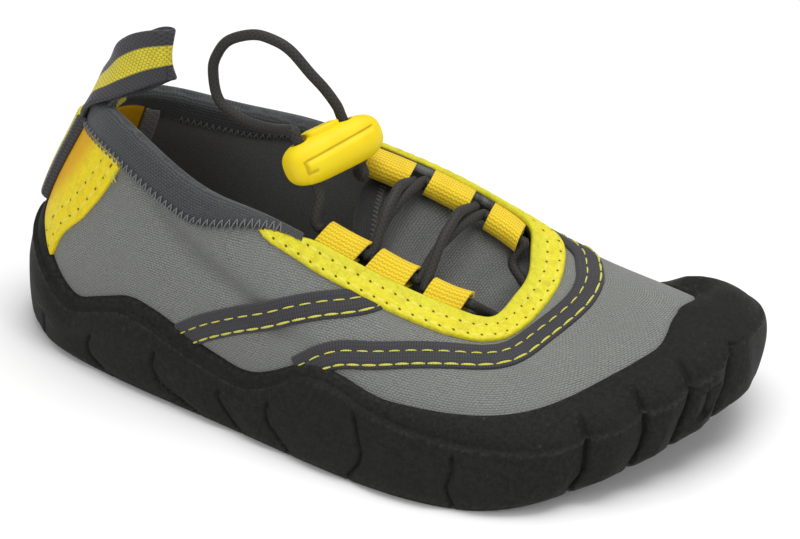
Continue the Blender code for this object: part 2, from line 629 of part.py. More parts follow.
def build_insole(collection, material):
    """Thin sock that lies in the cup, inside the upper's wall."""
    rows, columns = INSOLE_GRID
    stations = np.linspace(*INSOLE_STATIONS, rows)
    lateral, medial = (rib_at(station)[:, :2] - plan_normal(station) * (UPPER_WALL + 2 * GAP)
                       for station in (stations, medial_partner(stations)))
    shares = np.linspace(0, 1, columns)[None, :, None]
    plan = lateral[:, None] * (1 - shares) + medial[:, None] * shares
    base = SOLE_FLOOR + GAP + toe_spring(plan[..., 0])
    return sheet_solid("insole", upright(plan, base + INSOLE_THICKNESS), upright(plan, base),
                       collection, material)


def tongue_face(lines, shares, drop):
    """Face of the tongue, arched from inside one throat edge to inside the other."""
    lateral, medial, depth = np.array(lines).T
    below = UPPER_WALL + depth + drop
    starts, leaves = [], []
    for station, other in ((lateral, medial), (medial, lateral)):
        start = over_last(station, np.full_like(station, TONGUE_TUCK), -below)
        under_edge = over_last(station, np.ones_like(station), -1.1 * below)
        across = unit(last(other, 1.0) - last(station, 1.0))
        starts.append(start)
        leaves.append(unit((1 - TONGUE_LEVEL) * unit(under_edge - start) + TONGUE_LEVEL * across))
    start, end = starts
    reach = TONGUE_REACH * np.linalg.norm(end - start, axis=-1, keepdims=True)
    corners = (start, start + leaves[0] * reach, end + leaves[1] * reach, end)
    return bezier(np.asarray(shares)[None, :, None], *(corner[:, None] for corner in corners))


def build_tongue(collection, material):
    """Stretch gusset that closes the throat under the lace."""
    shares = np.linspace(0, 1, TONGUE_POINTS)
    outer = tongue_face(TONGUE_LINES, shares, 0.0)
    inner = tongue_face(TONGUE_LINES, shares, TONGUE_THICKNESS)
    return sheet_solid("tongue", outer, inner, collection, material)


def build_tongue_binding(collection, material):
    """Tape folded over the tongue's free rear edge."""
    shares = np.linspace(*TONGUE_BINDING_SHARES, TONGUE_BINDING_SECTIONS)
    edge = tongue_face(TONGUE_LINES[-1:], shares, 0.0)[0]
    ahead = tongue_face(TONGUE_LINES[-2:-1], shares, 0.0)[0]
    under = tongue_face(TONGUE_LINES[-1:], shares, TONGUE_THICKNESS)[0]
    forward, up = unit(ahead - edge), unit(edge - under)
    over, below = TONGUE_BINDING_CLEAR, -TONGUE_THICKNESS - TONGUE_BINDING_CLEAR
    profile = (
        (TONGUE_BINDING_OUTER, over), (TONGUE_BINDING_OUTER, over + BINDING_TAPE),
        (0.0, over + BINDING_TAPE), (-GAP - BINDING_TAPE, 0.0), (-GAP - BINDING_TAPE, -TONGUE_THICKNESS),
        (0.0, below - BINDING_TAPE), (TONGUE_BINDING_INNER, below - BINDING_TAPE),
        (TONGUE_BINDING_INNER, below), (-GAP, below), (-GAP, over),
    )
    rings = [edge + forward * along + up * high for along, high in profile]
    return loft("tongue_binding", np.stack(rings, 1), collection, material)


def build_collar_binding(collection, material):
    """Tape folded over the collar, from one end of the eyestay round the heel to the other."""
    medial_end, lateral_end = COLLAR_ENDS
    medial_narrow, lateral_narrow = COLLAR_NARROWS
    stations = np.linspace(medial_end - RIB_COUNT, lateral_end, COLLAR_SECTIONS)
    narrow = (smooth((stations - lateral_narrow) / COLLAR_NARROWING)
              + smooth((medial_narrow - RIB_COUNT - stations) / COLLAR_NARROWING))
    outer = BINDING_OUTER + (BINDING_NARROW - BINDING_OUTER) * narrow
    inner = BINDING_INNER + (BINDING_INNER_NARROW - BINDING_INNER) * narrow
    over, under = BINDING_CLEAR, -UPPER_WALL - BINDING_CLEAR
    round_top = 0.7 * BINDING_CROWN
    profile = (
        (outer, over), (outer, over + BINDING_TAPE), (1.0, over + 1.2 * BINDING_TAPE),
        (-round_top, over + 0.4), (-BINDING_CROWN, -UPPER_WALL / 2), (-round_top, under - 0.4),
        (1.0, under - 1.2 * BINDING_TAPE), (inner, under - BINDING_TAPE), (inner, under),
        (-BINDING_CLEAR, under), (-BINDING_CLEAR, over),
    )
    rings = [over_last(stations, below_edge(stations, down), np.full_like(stations, high))
             for down, high in profile]
    return loft("collar_binding", np.stack(rings, 1), collection, material)


def build_eyestay(collection, material):
    """U-shaped facing round the throat, from collar to collar."""
    rows = np.array(EYESTAY)
    between = np.arange(rows[4, 0], rows[-5, 0], EYESTAY_STEP)[1:-1]
    stations = np.unique(np.concatenate([rows[:5, 0], between, rows[-5:, 0]]))
    outer, inner = (np.interp(stations, rows[:, 0], rows[:, k]) for k in (1, 2))
    rises = [below_edge(stations, outer + (inner - outer) * share) for share in (0.0, 0.5, 1.0)]
    return overlay("eyestay", stations[:, None], np.stack(rises, 1), OVERLAY_LIFT, EYESTAY_THICKNESS,
                   collection, material)


def smooth_path(points, count):
    """Evenly numbered points on a smooth open curve through hand-placed ones."""
    points = np.asarray(points, float)
    ends = np.concatenate([2 * points[:1] - points[1:2], points, 2 * points[-1:] - points[-2:-1]])
    position = np.linspace(0, len(points) - 1, count)
    low = np.minimum(position.astype(int), len(points) - 2)
    w = (position - low)[:, None]
    a, b, c, d = (ends[low + k] for k in range(4))
    return 0.5 * (2 * b + (c - a) * w + (2 * a - 5 * b + 4 * c - d) * w**2 + (3 * b - a - 3 * c + d) * w**3)


def even_path(points, count):
    """Points at even distances on the smooth curve through hand-placed ones."""
    fine = smooth_path(points, 20 * len(points))
    run = np.concatenate([[0.0], np.cumsum(np.linalg.norm(np.diff(fine, axis=0), axis=1))])
    return np.stack([np.interp(np.linspace(0, run[-1], count), run, fine[:, k]) for k in range(3)], 1)


def surface_shift(station, rise, vector):
    """Changes of station and rise that move a place on the last by a tangent vector."""
    round_foot, up_rib = last_slopes(station, rise)
    pairs = ((round_foot, round_foot), (round_foot, up_rib), (up_rib, up_rib),
             (vector, round_foot), (vector, up_rib))
    a, b, c, p, q = ((first * second).sum(-1) for first, second in pairs)
    return (c * p - b * q) / (a * c - b * b), (a * q - b * p) / (a * c - b * b)


def build_stripe(name, collection, material):
    """Ribbon of constant width laid along a path on the upper."""
    path = STRIPES[name]
    station, rise = smooth_path(path, int(RIBBON_STEPS * len(path))).T
    sideways = unit(np.cross(last_normal(station, rise), np.gradient(last(station, rise), axis=0)))
    stations, rises = [], []
    for share in (-0.5, 0.0, 0.5):
        d_station, d_rise = surface_shift(station, rise, sideways * share * RIBBON_WIDTH)
        stations.append(station + d_station)
        rises.append(np.maximum(rise + d_rise, rim_column("rise", station + d_station) + OVERLAY_RIM_GAP))
    return overlay(name, np.stack(stations, 1), np.stack(rises, 1), OVERLAY_LIFT, RIBBON_THICKNESS,
                   collection, material)


def build_heel_counter(collection, material):
    """Overlay that wraps the heel between the rubber and the collar binding."""
    half = np.array(COUNTER_EDGE)
    stations = np.concatenate([-half[:0:-1, 0], half[:, 0]])
    edge = np.concatenate([half[:0:-1, 1], half[:, 1]])
    low = np.maximum(edge, rim_column("rise", stations) + OVERLAY_RIM_GAP)
    high = below_edge(stations, BINDING_OUTER + 2 * GAP)
    rises = low[:, None] + (high - low)[:, None] * np.linspace(0, 1, COUNTER_POINTS)
    return overlay("heel_counter", stations[:, None], rises, OVERLAY_LIFT, COUNTER_THICKNESS,
                   collection, material)


def build_heel_patch(collection, material):
    """Thick tape patch down the middle of the heel, over the counter."""
    stations = np.linspace(-PATCH_HALF_STATION, PATCH_HALF_STATION, PATCH_GRID[0])
    rises = np.linspace(*PATCH_RISES, PATCH_GRID[1])
    lift = OVERLAY_LIFT + COUNTER_THICKNESS + GAP
    return overlay("heel_patch", stations[:, None], rises, lift, PATCH_THICKNESS, collection, material)


def build_pull_loop(collection, material):
    """Webbing finger loop at the heel, folded on itself and turned on edge."""
    rows = smooth_path(PULL_PATH, PULL_STEPS * (len(PULL_PATH) - 1) + 1)
    middle, width = rows[:, :3], rows[:, 3:]
    along = unit(np.gradient(middle, axis=0))
    width = unit(width - along * (width * along).sum(-1, keepdims=True))
    through = np.cross(along, width)
    corners = ((-0.5, -0.5), (0.5, -0.5), (0.5, 0.5), (-0.5, 0.5))
    rings = [middle + width * (w * PULL_TAPE_WIDTH) + through * (t * PULL_TAPE) for w, t in corners]
    return loft("pull_loop", np.stack(rings, 1), collection, material)


def loop_axes(station):
    """Throat edge, the way across the throat and the way up from it."""
    station = np.asarray(station, float)
    lateral, medial, _ = np.array(TONGUE_LINES)[::-1].T
    sides, partners = (np.concatenate(pair) for pair in ((lateral, medial[::-1]), (medial, lateral[::-1])))
    other = np.interp(station, sides, partners)
    edge = last(station, 1.0)
    across = unit(unit(last(other, 1.0) - edge) - LOOP_DROOP * UP)
    along = last_slopes(station, np.ones_like(station))[0]
    along = unit(along - across * (along * across).sum(-1, keepdims=True))
    up = np.cross(across, along)
    return edge, across, up * np.sign(up[..., 2:])


def build_lace_loop(name, collection, material):
    """Tape doubled round the cord, with its tail under the eyestay's edge."""
    rear, front, bore_reach, tail_reach, _ = LACE_LOOPS[name]
    edge, across, up = (vectors[:, None] for vectors in loop_axes(np.linspace(rear, front, 3)))
    turn = np.linspace(0, 2 * np.pi, LOOP_SIDES, endpoint=False)
    layers = []
    for radius in (LOOP_BORE + LOOP_TAPE, LOOP_BORE):
        reach = bore_reach + radius * np.cos(turn)
        rise = LOOP_RISE + radius * np.sin(turn)
        if radius > LOOP_BORE:
            tail = np.cos(turn) < LOOP_TAIL_COS
            reach = np.where(tail, tail_reach, reach)
            rise = np.where(tail, LOOP_TAIL_FLAT * (rise - LOOP_RISE) - LOOP_TAIL_DROP, rise)
        layers.append(edge + across * reach[:, None] + up * rise[:, None])
    outer, inner = layers
    return loft(name, np.concatenate([outer, inner[::-1]]), collection, material, closed=True)


def bore(name, backwards=False):
    """The cord's points through a lace loop, led in and out straight."""
    rear, front, reach, _, lead = LACE_LOOPS[name]
    edge, across, up = loop_axes(np.linspace(rear, front, 3))
    points = edge + across * reach + up * LOOP_RISE
    straight = unit(points[2] - points[0]) * lead
    points = np.concatenate([[points[0] - straight], points, [points[2] + straight]])
    return list(points[::-1] if backwards else points)


def strand(first, second, lift):
    """Points of a crossing strand between two places, arched over the tongue."""
    shares = np.array(STRAND_SHARES)[:, None]
    return list(first * (1 - shares) + second * shares + lift * np.sqrt(np.sin(np.pi * shares)) * UP)


def lace_points():
    """The lace from the top lateral loop through all six and under the vamp to the top medial loop."""
    station, rise, down = np.array(VAMP_RUN).T
    front = list(over_last(station, rise, -(UPPER_WALL + down)))
    route = bore("lace_loop_lateral_1")
    for name, lift in (("lace_loop_medial_2", STRAND_LIFT), ("lace_loop_lateral_3", STRAND_LIFT + OVER_LIFT)):
        points = bore(name)
        route += strand(route[-1], points[0], lift) + points
    route += front + bore("lace_loop_medial_3", backwards=True)
    for name, lift in (("lace_loop_lateral_2", STRAND_LIFT), ("lace_loop_medial_1", STRAND_LIFT + OVER_LIFT)):
        points = bore(name, backwards=True)
        route += strand(route[-1], points[0], lift) + points
    return np.array(route[1:-1])


def build_cord(name, path, collection, material):
    """Round cord along a path in millimetres, as a bevelled curve with filled ends."""
    curve = bpy.data.curves.new(name, "CURVE")
    curve.dimensions = "3D"
    curve.bevel_depth = CORD_RADIUS * MM
    curve.bevel_resolution = 2
    curve.use_fill_caps = True
    spline = curve.splines.new("POLY")
    spline.points.add(len(path) - 1)
    points = np.concatenate([(path - CENTRE) * MM, np.ones((len(path), 1))], 1)
    spline.points.foreach_set("co", points.ravel())
    curve.materials.append(material)
    obj = bpy.data.objects.new(name, curve)
    collection.objects.link(obj)
    return obj


def build_free_cord(collection, material):
    """The three free stretches of cord: two strands up to the lock and the loop above it."""
    for name, points in CORD_STRETCHES.items():
        length = np.linalg.norm(np.diff(np.array(points), axis=0), axis=1).sum()
        build_cord(name, even_path(points, int(np.ceil(length / CORD_SPACING)) + 1), collection, material)


def lock_axes():
    """Long axis, cord direction and face direction of the cord lock."""
    axis = unit(LOCK_AXIS)
    up = unit(LOCK_UP - axis * np.dot(LOCK_UP, axis))
    return axis, up, np.cross(axis, up)


def build_cord_lock(collection, material):
    """Oblong moulded body of the cord lock, an ellipsoid squared off by powers."""
    axis, up, face = lock_axes()
    length, depth, height = LOCK_SIZE
    end_power, size_power, side_power = LOCK_ROUNDING
    stops = np.linspace(-np.pi / 2, np.pi / 2, LOCK_SECTIONS)[1:-1, None, None]
    turn = np.linspace(0, 2 * np.pi, LOCK_SIDES, endpoint=False)[None, :, None]
    ring = (up * power(np.sin(turn), side_power) * height / 2
            + face * power(np.cos(turn), side_power) * depth / 2)
    middles = LOCK_MIDDLE + axis * power(np.sin(stops), end_power) * length / 2
    return loft("cord_lock_shell", middles + np.cos(stops) ** size_power * ring, collection, material)


def build_cord_lock_button(collection, material):
    """Push button between the two cords, on the lock's upper side."""
    axis, up, face = lock_axes()
    length, depth, tall = BUTTON_SIZE
    turn = np.linspace(0, 2 * np.pi, BUTTON_SIDES, endpoint=False)[:, None]
    outline = (axis * power(np.cos(turn), BUTTON_ROUNDING) * length / 2
               + face * power(np.sin(turn), BUTTON_ROUNDING) * depth / 2)
    base = LOCK_MIDDLE + axis * BUTTON_MIDDLE + up * (LOCK_SIZE[2] / 2 + GAP)
    rings = [base + up * tall * level + outline * size for level, size in BUTTON_LEVELS]
    return loft("cord_lock_button", np.stack(rings), collection, material)


def add_material(name):
    """Plain material of a slot, in its colour and roughness."""
    colour, roughness = COLOURS[name]
    material = bpy.data.materials.new(name)
    material.use_nodes = True
    shader = material.node_tree.nodes["Principled BSDF"]
    shader.inputs["Base Color"].default_value = (*colour, 1.0)
    shader.inputs["Roughness"].default_value = roughness
    return material


def main():
    for obj in list(bpy.data.objects):
        bpy.data.objects.remove(obj)
    shoe = bpy.data.collections.new("water_shoe")
    bpy.context.scene.collection.children.link(shoe)
    finish = {name: add_material(name) for name in COLOURS}
    build_outsole(shoe, finish["rubber"])
    build_upper(shoe, finish["neoprene"])
    build_insole(shoe, finish["lining"])
    build_tongue(shoe, finish["neoprene"])
    build_tongue_binding(shoe, finish["binding"])
    build_collar_binding(shoe, finish["binding"])
    build_eyestay(shoe, finish["facing"])
    for name in STRIPES:
        build_stripe(name, shoe, finish["ribbon"])
    build_heel_counter(shoe, finish["facing"])
    build_heel_patch(shoe, finish["ribbon"])
    build_pull_loop(shoe, finish["ribbon"])
    for name in LACE_LOOPS:
        build_lace_loop(name, shoe, finish["webbing"])
    build_cord("lace", even_path(lace_points(), LACE_POINTS), shoe, finish["cord"])
    build_free_cord(shoe, finish["cord"])
    build_cord_lock(shoe, finish["plastic"])
    build_cord_lock_button(shoe, finish["plastic"])


if __name__ == "__main__":
    main()
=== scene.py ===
"""Dressed model of a child's right water shoe: rubber cup sole, neoprene upper, bungee lace and cord lock.

Tables are in millimetres in the frame of the last, the scene is in metres. +X runs from heel to toe,
+Y to the medial (big toe) side and +Z up. A place on the upper is (station, rise): stations count the
ribs round the foot from the heel back along the lateral side, and the rise goes from 0 at the feather
line to 1 at the top edge.
"""

import logging
from dataclasses import dataclass, field, replace
from enum import Enum
from typing import Any, Sequence

import bmesh
import bpy
import numpy as np
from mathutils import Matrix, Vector


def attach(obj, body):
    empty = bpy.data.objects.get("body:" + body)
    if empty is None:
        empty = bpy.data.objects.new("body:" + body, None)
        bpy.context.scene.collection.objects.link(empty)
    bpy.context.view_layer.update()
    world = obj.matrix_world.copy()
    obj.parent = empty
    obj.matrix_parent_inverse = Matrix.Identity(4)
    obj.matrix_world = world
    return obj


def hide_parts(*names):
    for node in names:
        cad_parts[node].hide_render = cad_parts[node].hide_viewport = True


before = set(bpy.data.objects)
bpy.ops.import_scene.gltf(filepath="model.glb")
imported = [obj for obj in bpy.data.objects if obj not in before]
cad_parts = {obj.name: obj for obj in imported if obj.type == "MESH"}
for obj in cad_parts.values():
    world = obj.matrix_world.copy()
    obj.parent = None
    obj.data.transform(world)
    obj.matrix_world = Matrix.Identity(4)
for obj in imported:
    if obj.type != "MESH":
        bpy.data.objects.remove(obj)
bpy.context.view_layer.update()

log = logging.getLogger("water_shoe")
MM = 0.001
UP = np.array([0.0, 0.0, 1.0])
CENTRE = np.array([98.590, -0.732, 0.0])
BODY = "root"
MERGE_DISTANCE = 0.002 * MM
Array = np.ndarray
Rows = Sequence[Sequence[float]] | Array
Pair = tuple[float, float]
Triple = tuple[float, float, float]
Colour = Triple
Material = bpy.types.Material
Object = bpy.types.Object
Socket = bpy.types.NodeSocket
TURN = 2 * np.pi


class Weave(Enum):
    """How the yarns of a tape show: as ribs across it or as a plain basket."""

    RIBBED = "ribbed"
    BASKET = "basket"


def smooth(x: Array | float) -> Array:
    """Soft step from 0 to 1: 3x squared minus 2x cubed between the ends."""
    x = np.clip(x, 0.0, 1.0)
    return x * x * (3 - 2 * x)


def lengths(vectors: Array) -> Array:
    """Length of each vector."""
    return np.linalg.norm(vectors, axis=-1)


def unit(vectors: Array) -> Array:
    """Vectors divided by their length."""
    return vectors / np.linalg.norm(vectors, axis=-1, keepdims=True)


def paired(first: Array | float, second: Array | float) -> Array:
    """Two arrays broadcast together and set side by side."""
    return np.stack(np.broadcast_arrays(first, second), -1)


def power(values: Array, exponent: float) -> Array:
    """Signed power, which squares off or softens a circle."""
    return np.sign(values) * np.abs(values) ** exponent


def upright(xy: Array, z: Array | float = 0.0) -> Array:
    """Plan vectors with a height added."""
    return np.concatenate([xy, np.broadcast_to(np.asarray(z)[..., None], xy.shape[:-1] + (1,))], -1)


def bezier(t: Array | float, start: Array, first: Array, second: Array, end: Array) -> Array:
    """Cubic curve from start to end with two handles."""
    return (1 - t) ** 3 * start + 3 * (1 - t) ** 2 * t * first + 3 * (1 - t) * t**2 * second + t**3 * end


def run_length(points: Array) -> Array:
    """Distance along a line of points, from 0 at its start."""
    steps = lengths(np.diff(points, axis=0))
    return np.concatenate([[0.0], np.cumsum(steps)])


def smooth_path(points: Rows, count: int) -> Array:
    """Catmull-Rom curve through given points, read at evenly numbered places.

    Args:
        points: Rows of any width, in order along the curve.
        count: How many rows to return.

    Returns:
        The rows on the curve.
    """
    points = np.asarray(points, float)
    ends = np.concatenate([2 * points[:1] - points[1:2], points, 2 * points[-1:] - points[-2:-1]])
    position = np.linspace(0, len(points) - 1, count)
    low = np.minimum(position.astype(int), len(points) - 2)
    w = (position - low)[:, None]
    a, b, c, d = (ends[low + k] for k in range(4))
    return 0.5 * (2 * b + (c - a) * w + (2 * a - 5 * b + 4 * c - d) * w**2 + (3 * b - a - 3 * c + d) * w**3)


def even_path(points: Rows, count: int) -> Array:
    """The smooth curve through given points, read at even distances.

    Args:
        points: Rows of any width, in order along the curve.
        count: How many rows to return.

    Returns:
        The rows on the curve.
    """
    fine = smooth_path(points, 40 * len(points))
    run = run_length(fine)
    return np.stack([np.interp(np.linspace(0, run[-1], count), run, column) for column in fine.T], 1)


def edge_shares(count: int, corner: float) -> Array:
    """Shares from 0 to 1 that lie closer together within corner of each end."""
    low = corner * np.array([0.0, 0.08, 0.25, 0.55])
    return np.concatenate([low, np.linspace(corner, 1 - corner, count), 1 - low[::-1]])


def round_edge(distance: Array, radius: float) -> Array:
    """Height of a rounded border from 0 at the edge to 1 a radius inside it, a quarter circle."""
    inside = 1 - np.clip(distance / radius, 0, 1)
    return np.sqrt(np.clip(1 - inside**2, 0, 1))


class Last:
    """The form that the upper is drawn over, and the lines on it that the other pieces follow.

    Each rib is a cubic curve from the feather line to the top edge, and a closed cubic spline through
    the ribs' numbers gives the ribs between them.
    """

    length = 190.0
    ball_width = 80.0
    heel_height = 61.5
    wall = 2.5
    sole_floor = 4.0
    gap = 0.3
    toe_station = 11.2
    # Toe cap: where it starts and ends, and the length over which it comes in
    toe_cap = (6.5, 14.5, 1.5)
    toe_lift = 12.5
    spring_start = 142.0
    # Rounded heel and arch: how high, where it is and how long
    heel_lift = (2.5, 20.0, 14.0)
    arch_lift = (1.5, 82.0, 56.0)
    # A small step for slopes, and how far the corners of the rim are softened, in stations
    step = 1e-3
    soften = 0.12
    columns = ("foot_x", "foot_y", "edge_x", "edge_y", "edge_z", "flare", "rise", "tuck", "draw", "flange")
    # Heel back, then the lateral side to the toe, then the medial side: hundredths of the three sizes,
    # degrees, and handle lengths
    ribs = (
        (5.5, 1.0, 14.5, 0.0, 100.0, 12, 24, 24, 20, 4.0),
        (8.5, -14.5, 17.5, -8.5, 100.5, 12, 24, 24, 20, 4.0),
        (15.5, -24.0, 24.0, -17.0, 97.0, 10, 22, 24, 20, 4.5),
        (27.5, -31.0, 33.5, -22.5, 86.0, 8, 20, 30, 18, 5.0),
        (42.0, -38.0, 43.0, -22.0, 80.0, 6, 18, 38, 18, 5.0),
        (57.0, -45.5, 55.0, -17.0, 63.5, 6, 14, 52, 18, 5.0),
        (69.0, -48.0, 63.5, -14.5, 54.5, 6, 13, 64, 18, 5.0),
        (78.0, -43.0, 69.0, -10.5, 49.0, 8, 14, 70, 20, 5.0),
        (84.5, -32.5, 71.0, -5.0, 47.5, 12, 15, 74, 22, 4.5),
        (90.5, -18.5, 71.5, 2.5, 49.0, 16, 17, 78, 24, 4.0),
        (95.5, -1.0, 72.0, 10.0, 52.0, 20, 19, 82, 27, 3.5),
        (98.0, 16.5, 71.5, 16.5, 55.5, 22, 20, 82, 29, 3.5),
        (97.0, 30.5, 70.5, 22.0, 59.0, 20, 17, 74, 24, 3.5),
        (90.5, 40.5, 69.0, 26.5, 64.0, 12, 13, 66, 18, 4.0),
        (80.0, 43.5, 64.0, 27.5, 71.0, 6, 13, 60, 15, 4.5),
        (68.5, 42.5, 57.0, 25.0, 80.5, 4, 16, 54, 18, 5.0),
        (53.5, 33.0, 48.5, 21.0, 89.5, 2, 18, 40, 18, 5.0),
        (38.0, 28.0, 38.5, 22.5, 92.0, 4, 20, 26, 18, 5.0),
        (23.0, 29.0, 29.5, 22.0, 92.5, 8, 22, 24, 18, 4.5),
        (13.0, 25.0, 22.0, 16.5, 97.5, 10, 24, 22, 20, 4.0),
        (7.5, 15.0, 16.5, 8.5, 100.5, 12, 24, 24, 20, 4.0),
    )
    count = len(ribs)
    # Top of the rubber: station, rise, and how far the stepped lip lies below it
    rim_rows = (
        (0.0, 0.45, 6.0), (0.9, 0.37, 5.0), (1.3, 0.30, 4.0), (1.65, 0.235, 3.5), (2.0, 0.19, 3.0),
        (2.35, 0.26, 3.5), (2.75, 0.35, 4.0), (3.1, 0.33, 4.0), (3.6, 0.255, 3.5), (4.05, 0.21, 3.0),
        (4.25, 0.26, 3.5), (4.65, 0.45, 4.0), (4.95, 0.465, 4.0), (5.4, 0.42, 5.0), (6.0, 0.435, 7.5),
        (7.0, 0.465, 10.5), (8.0, 0.475, 12.5), (9.0, 0.48, 14.5), (10.0, 0.475, 15.5), (10.6, 0.53, 17.5),
        (11.1, 0.535, 19.0), (11.7, 0.47, 17.0), (12.25, 0.42, 14.0), (12.7, 0.45, 13.5),
        (13.2, 0.40, 10.5), (14.3, 0.40, 8.0), (15.2, 0.40, 5.5), (15.9, 0.40, 4.5),
        (16.4, 0.30, 3.5), (16.8, 0.22, 3.0), (17.3, 0.27, 3.5), (18.0, 0.35, 4.0),
        (18.6, 0.27, 3.5), (19.0, 0.20, 3.0), (19.5, 0.27, 4.0), (20.1, 0.37, 5.0),
    )
    # Throat from the vamp back to the tongue's rear edge: lateral and medial stations, tongue's depth
    throat = (
        (9.35, 10.45, 4.8), (8.7, 11.2, 4.8), (7.9, 12.0, 5.0), (7.1, 12.75, 5.0), (6.4, 13.4, 4.2),
        (5.8, 14.0, 3.5), (5.3, 14.55, 3.5), (4.9, 15.05, 3.1), (4.62, 15.5, 3.4), (4.4, 15.85, 3.6),
    )

    def __init__(self) -> None:
        """Solves the closed spline through the ribs: each slope plus four times the next balances."""
        sizes = (self.length, self.ball_width, self.length, self.ball_width, self.heel_height)
        units = [size / 100 for size in sizes] + [1.0] * 5
        self.values = np.array(self.ribs) * units
        eye = np.eye(self.count)
        matrix = 4 * eye + np.roll(eye, 1, 1) + np.roll(eye, -1, 1)
        rhs = 3 * (np.roll(self.values, -1, 0) - np.roll(self.values, 1, 0))
        self.tangents = np.linalg.solve(matrix, rhs)

    def rib(self, station: Array | float) -> Array:
        """The ten numbers of the rib at any station, on the closed cubic spline.

        Args:
            station: Places round the foot.

        Returns:
            The numbers of each rib, in the last axis.
        """
        station = np.mod(np.asarray(station, float), self.count)
        low = np.floor(station).astype(int) % self.count
        high = (low + 1) % self.count
        w = (station - np.floor(station))[..., None]
        values, slopes = self.values, self.tangents
        return ((2 * w**3 - 3 * w**2 + 1) * values[low] + (w**3 - 2 * w**2 + w) * slopes[low]
                + (3 * w**2 - 2 * w**3) * values[high] + (w**3 - w**2) * slopes[high])

    def plan_normal(self, station: Array) -> Array:
        """Outward direction of the feather line, seen from above."""
        along = (self.rib(station + self.step) - self.rib(station - self.step))[..., :2]
        return unit(np.stack([along[..., 1], -along[..., 0]], -1))

    def toe_spring(self, x: Array) -> Array:
        """Lift of the toe, which grows as a power of the distance past the ball."""
        share = np.clip((x - self.spring_start) / (self.length - self.spring_start), 0, 1.1)
        return self.toe_lift * share**1.6

    def ground(self, x: Array, side: Array | float) -> Array:
        """Height of the tread: toe spring, rounded heel and an arch on the medial side (side 1).

        Args:
            x: Distance from the heel.
            side: From -1 on the lateral side to 1 on the medial side.

        Returns:
            Heights.
        """
        high, start, reach = self.heel_lift
        heel = high * np.clip((start - x) / reach, 0, 1) ** 1.5
        high, middle, reach = self.arch_lift
        arch = np.cos(np.pi * np.clip((x - middle) / reach, -0.5, 0.5)) ** 2
        return self.toe_spring(x) + heel + high * arch * (0.5 + 0.5 * side)

    def at(self, station: Array | float, rise: Array | float) -> Array:
        """The upper's outer face: a cubic from the feather line up to the edge at each station.

        Args:
            station: Places round the foot.
            rise: Places up the rib, broadcast with the stations.

        Returns:
            Points in millimetres of the last.
        """
        station, rise = np.broadcast_arrays(np.asarray(station, float), np.asarray(rise, float))
        rib = dict(zip(self.columns, np.moveaxis(self.rib(station), -1, 0)))
        foot_xy = np.stack([rib["foot_x"], rib["foot_y"]], -1)
        foot = upright(foot_xy, self.sole_floor + self.gap + self.toe_spring(rib["foot_x"]))
        edge = np.stack([rib["edge_x"], rib["edge_y"], rib["edge_z"]], -1)
        outward = upright(unit(foot[..., :2] - edge[..., :2]))
        flare, tuck = np.radians(rib["flare"])[..., None], np.radians(rib["tuck"])[..., None]
        sole_out = upright(self.plan_normal(station))
        lower = foot + rib["rise"][..., None] * (np.sin(flare) * sole_out + np.cos(flare) * UP)
        upper = edge + rib["draw"][..., None] * (np.sin(tuck) * outward - np.cos(tuck) * UP)
        return bezier(rise[..., None], foot, lower, upper, edge)

    def slopes(self, station: Array | float, rise: Array | float) -> tuple[Array, Array]:
        """Change of the face with station and with rise, by small differences.

        Args:
            station: Places round the foot.
            rise: Places up the rib.

        Returns:
            The two slopes, in millimetres for each station and each whole rise.
        """
        station, rise = np.asarray(station, float), np.asarray(rise, float)
        step = self.step
        round_foot = (self.at(station + step, rise) - self.at(station - step, rise)) / (2 * step)
        up_rib = (self.at(station, rise + step) - self.at(station, rise - step)) / (2 * step)
        return round_foot, up_rib

    def normal(self, station: Array | float, rise: Array | float) -> Array:
        """Outward direction of the face: the cross product of its two slopes."""
        return unit(np.cross(*self.slopes(station, rise)))

    def over(self, station: Array | float, rise: Array | float, height: Array | float) -> Array:
        """Points that stand this height off the face along its normal."""
        return self.at(station, rise) + self.normal(station, rise) * np.asarray(height, float)[..., None]

    def below_edge(self, station: Array, distance: Array | float) -> Array:
        """Rise of a place this many millimetres down the rib from the top edge."""
        speed = lengths(self.slopes(station, np.ones_like(station))[1])
        return 1.0 - distance / speed

    def rib_length(self, station: Array) -> Array:
        """Length of a rib from the feather line to the edge, in short chords."""
        points = self.at(np.asarray(station, float)[..., None], np.linspace(0, 1, 13))
        return lengths(np.diff(points, axis=-2)).sum(-1)

    def rim(self, station: Array, column: int = 1) -> Array:
        """Rise of the rubber's top edge (column 1) or drop of its lip (column 2), softened at corners.

        Args:
            station: Places round the foot.
            column: Which column of the rim's rows.

        Returns:
            The column's values.
        """
        rows = np.array(self.rim_rows)
        stations = np.concatenate([rows[:, 0] - self.count, rows[:, 0], rows[:, 0] + self.count])
        near = np.linspace(-self.soften, self.soften, 7)
        station = np.mod(np.asarray(station, float), self.count)
        return np.interp(station[..., None] + near, stations, np.tile(rows[:, column], 3)).mean(-1)

    def lip(self, station: Array) -> Array:
        """Rise of the stepped lip under the rim."""
        return self.rim(station) - self.rim(station, 2) / self.rib_length(station)

    def toe_share(self, station: Array) -> Array:
        """1 round the toe, 0 along the waist and heel."""
        station = np.mod(station, self.count)
        start, stop, blend = self.toe_cap
        return smooth((station - start) / blend) * smooth((stop - station) / blend)

    def partner(self, station: Array) -> Array:
        """The medial station that lies straight across from a lateral one."""
        stations = np.linspace(self.toe_station, self.count, 400)
        return np.interp(-self.rib(station)[..., 0], -self.rib(stations)[:, 0], stations)

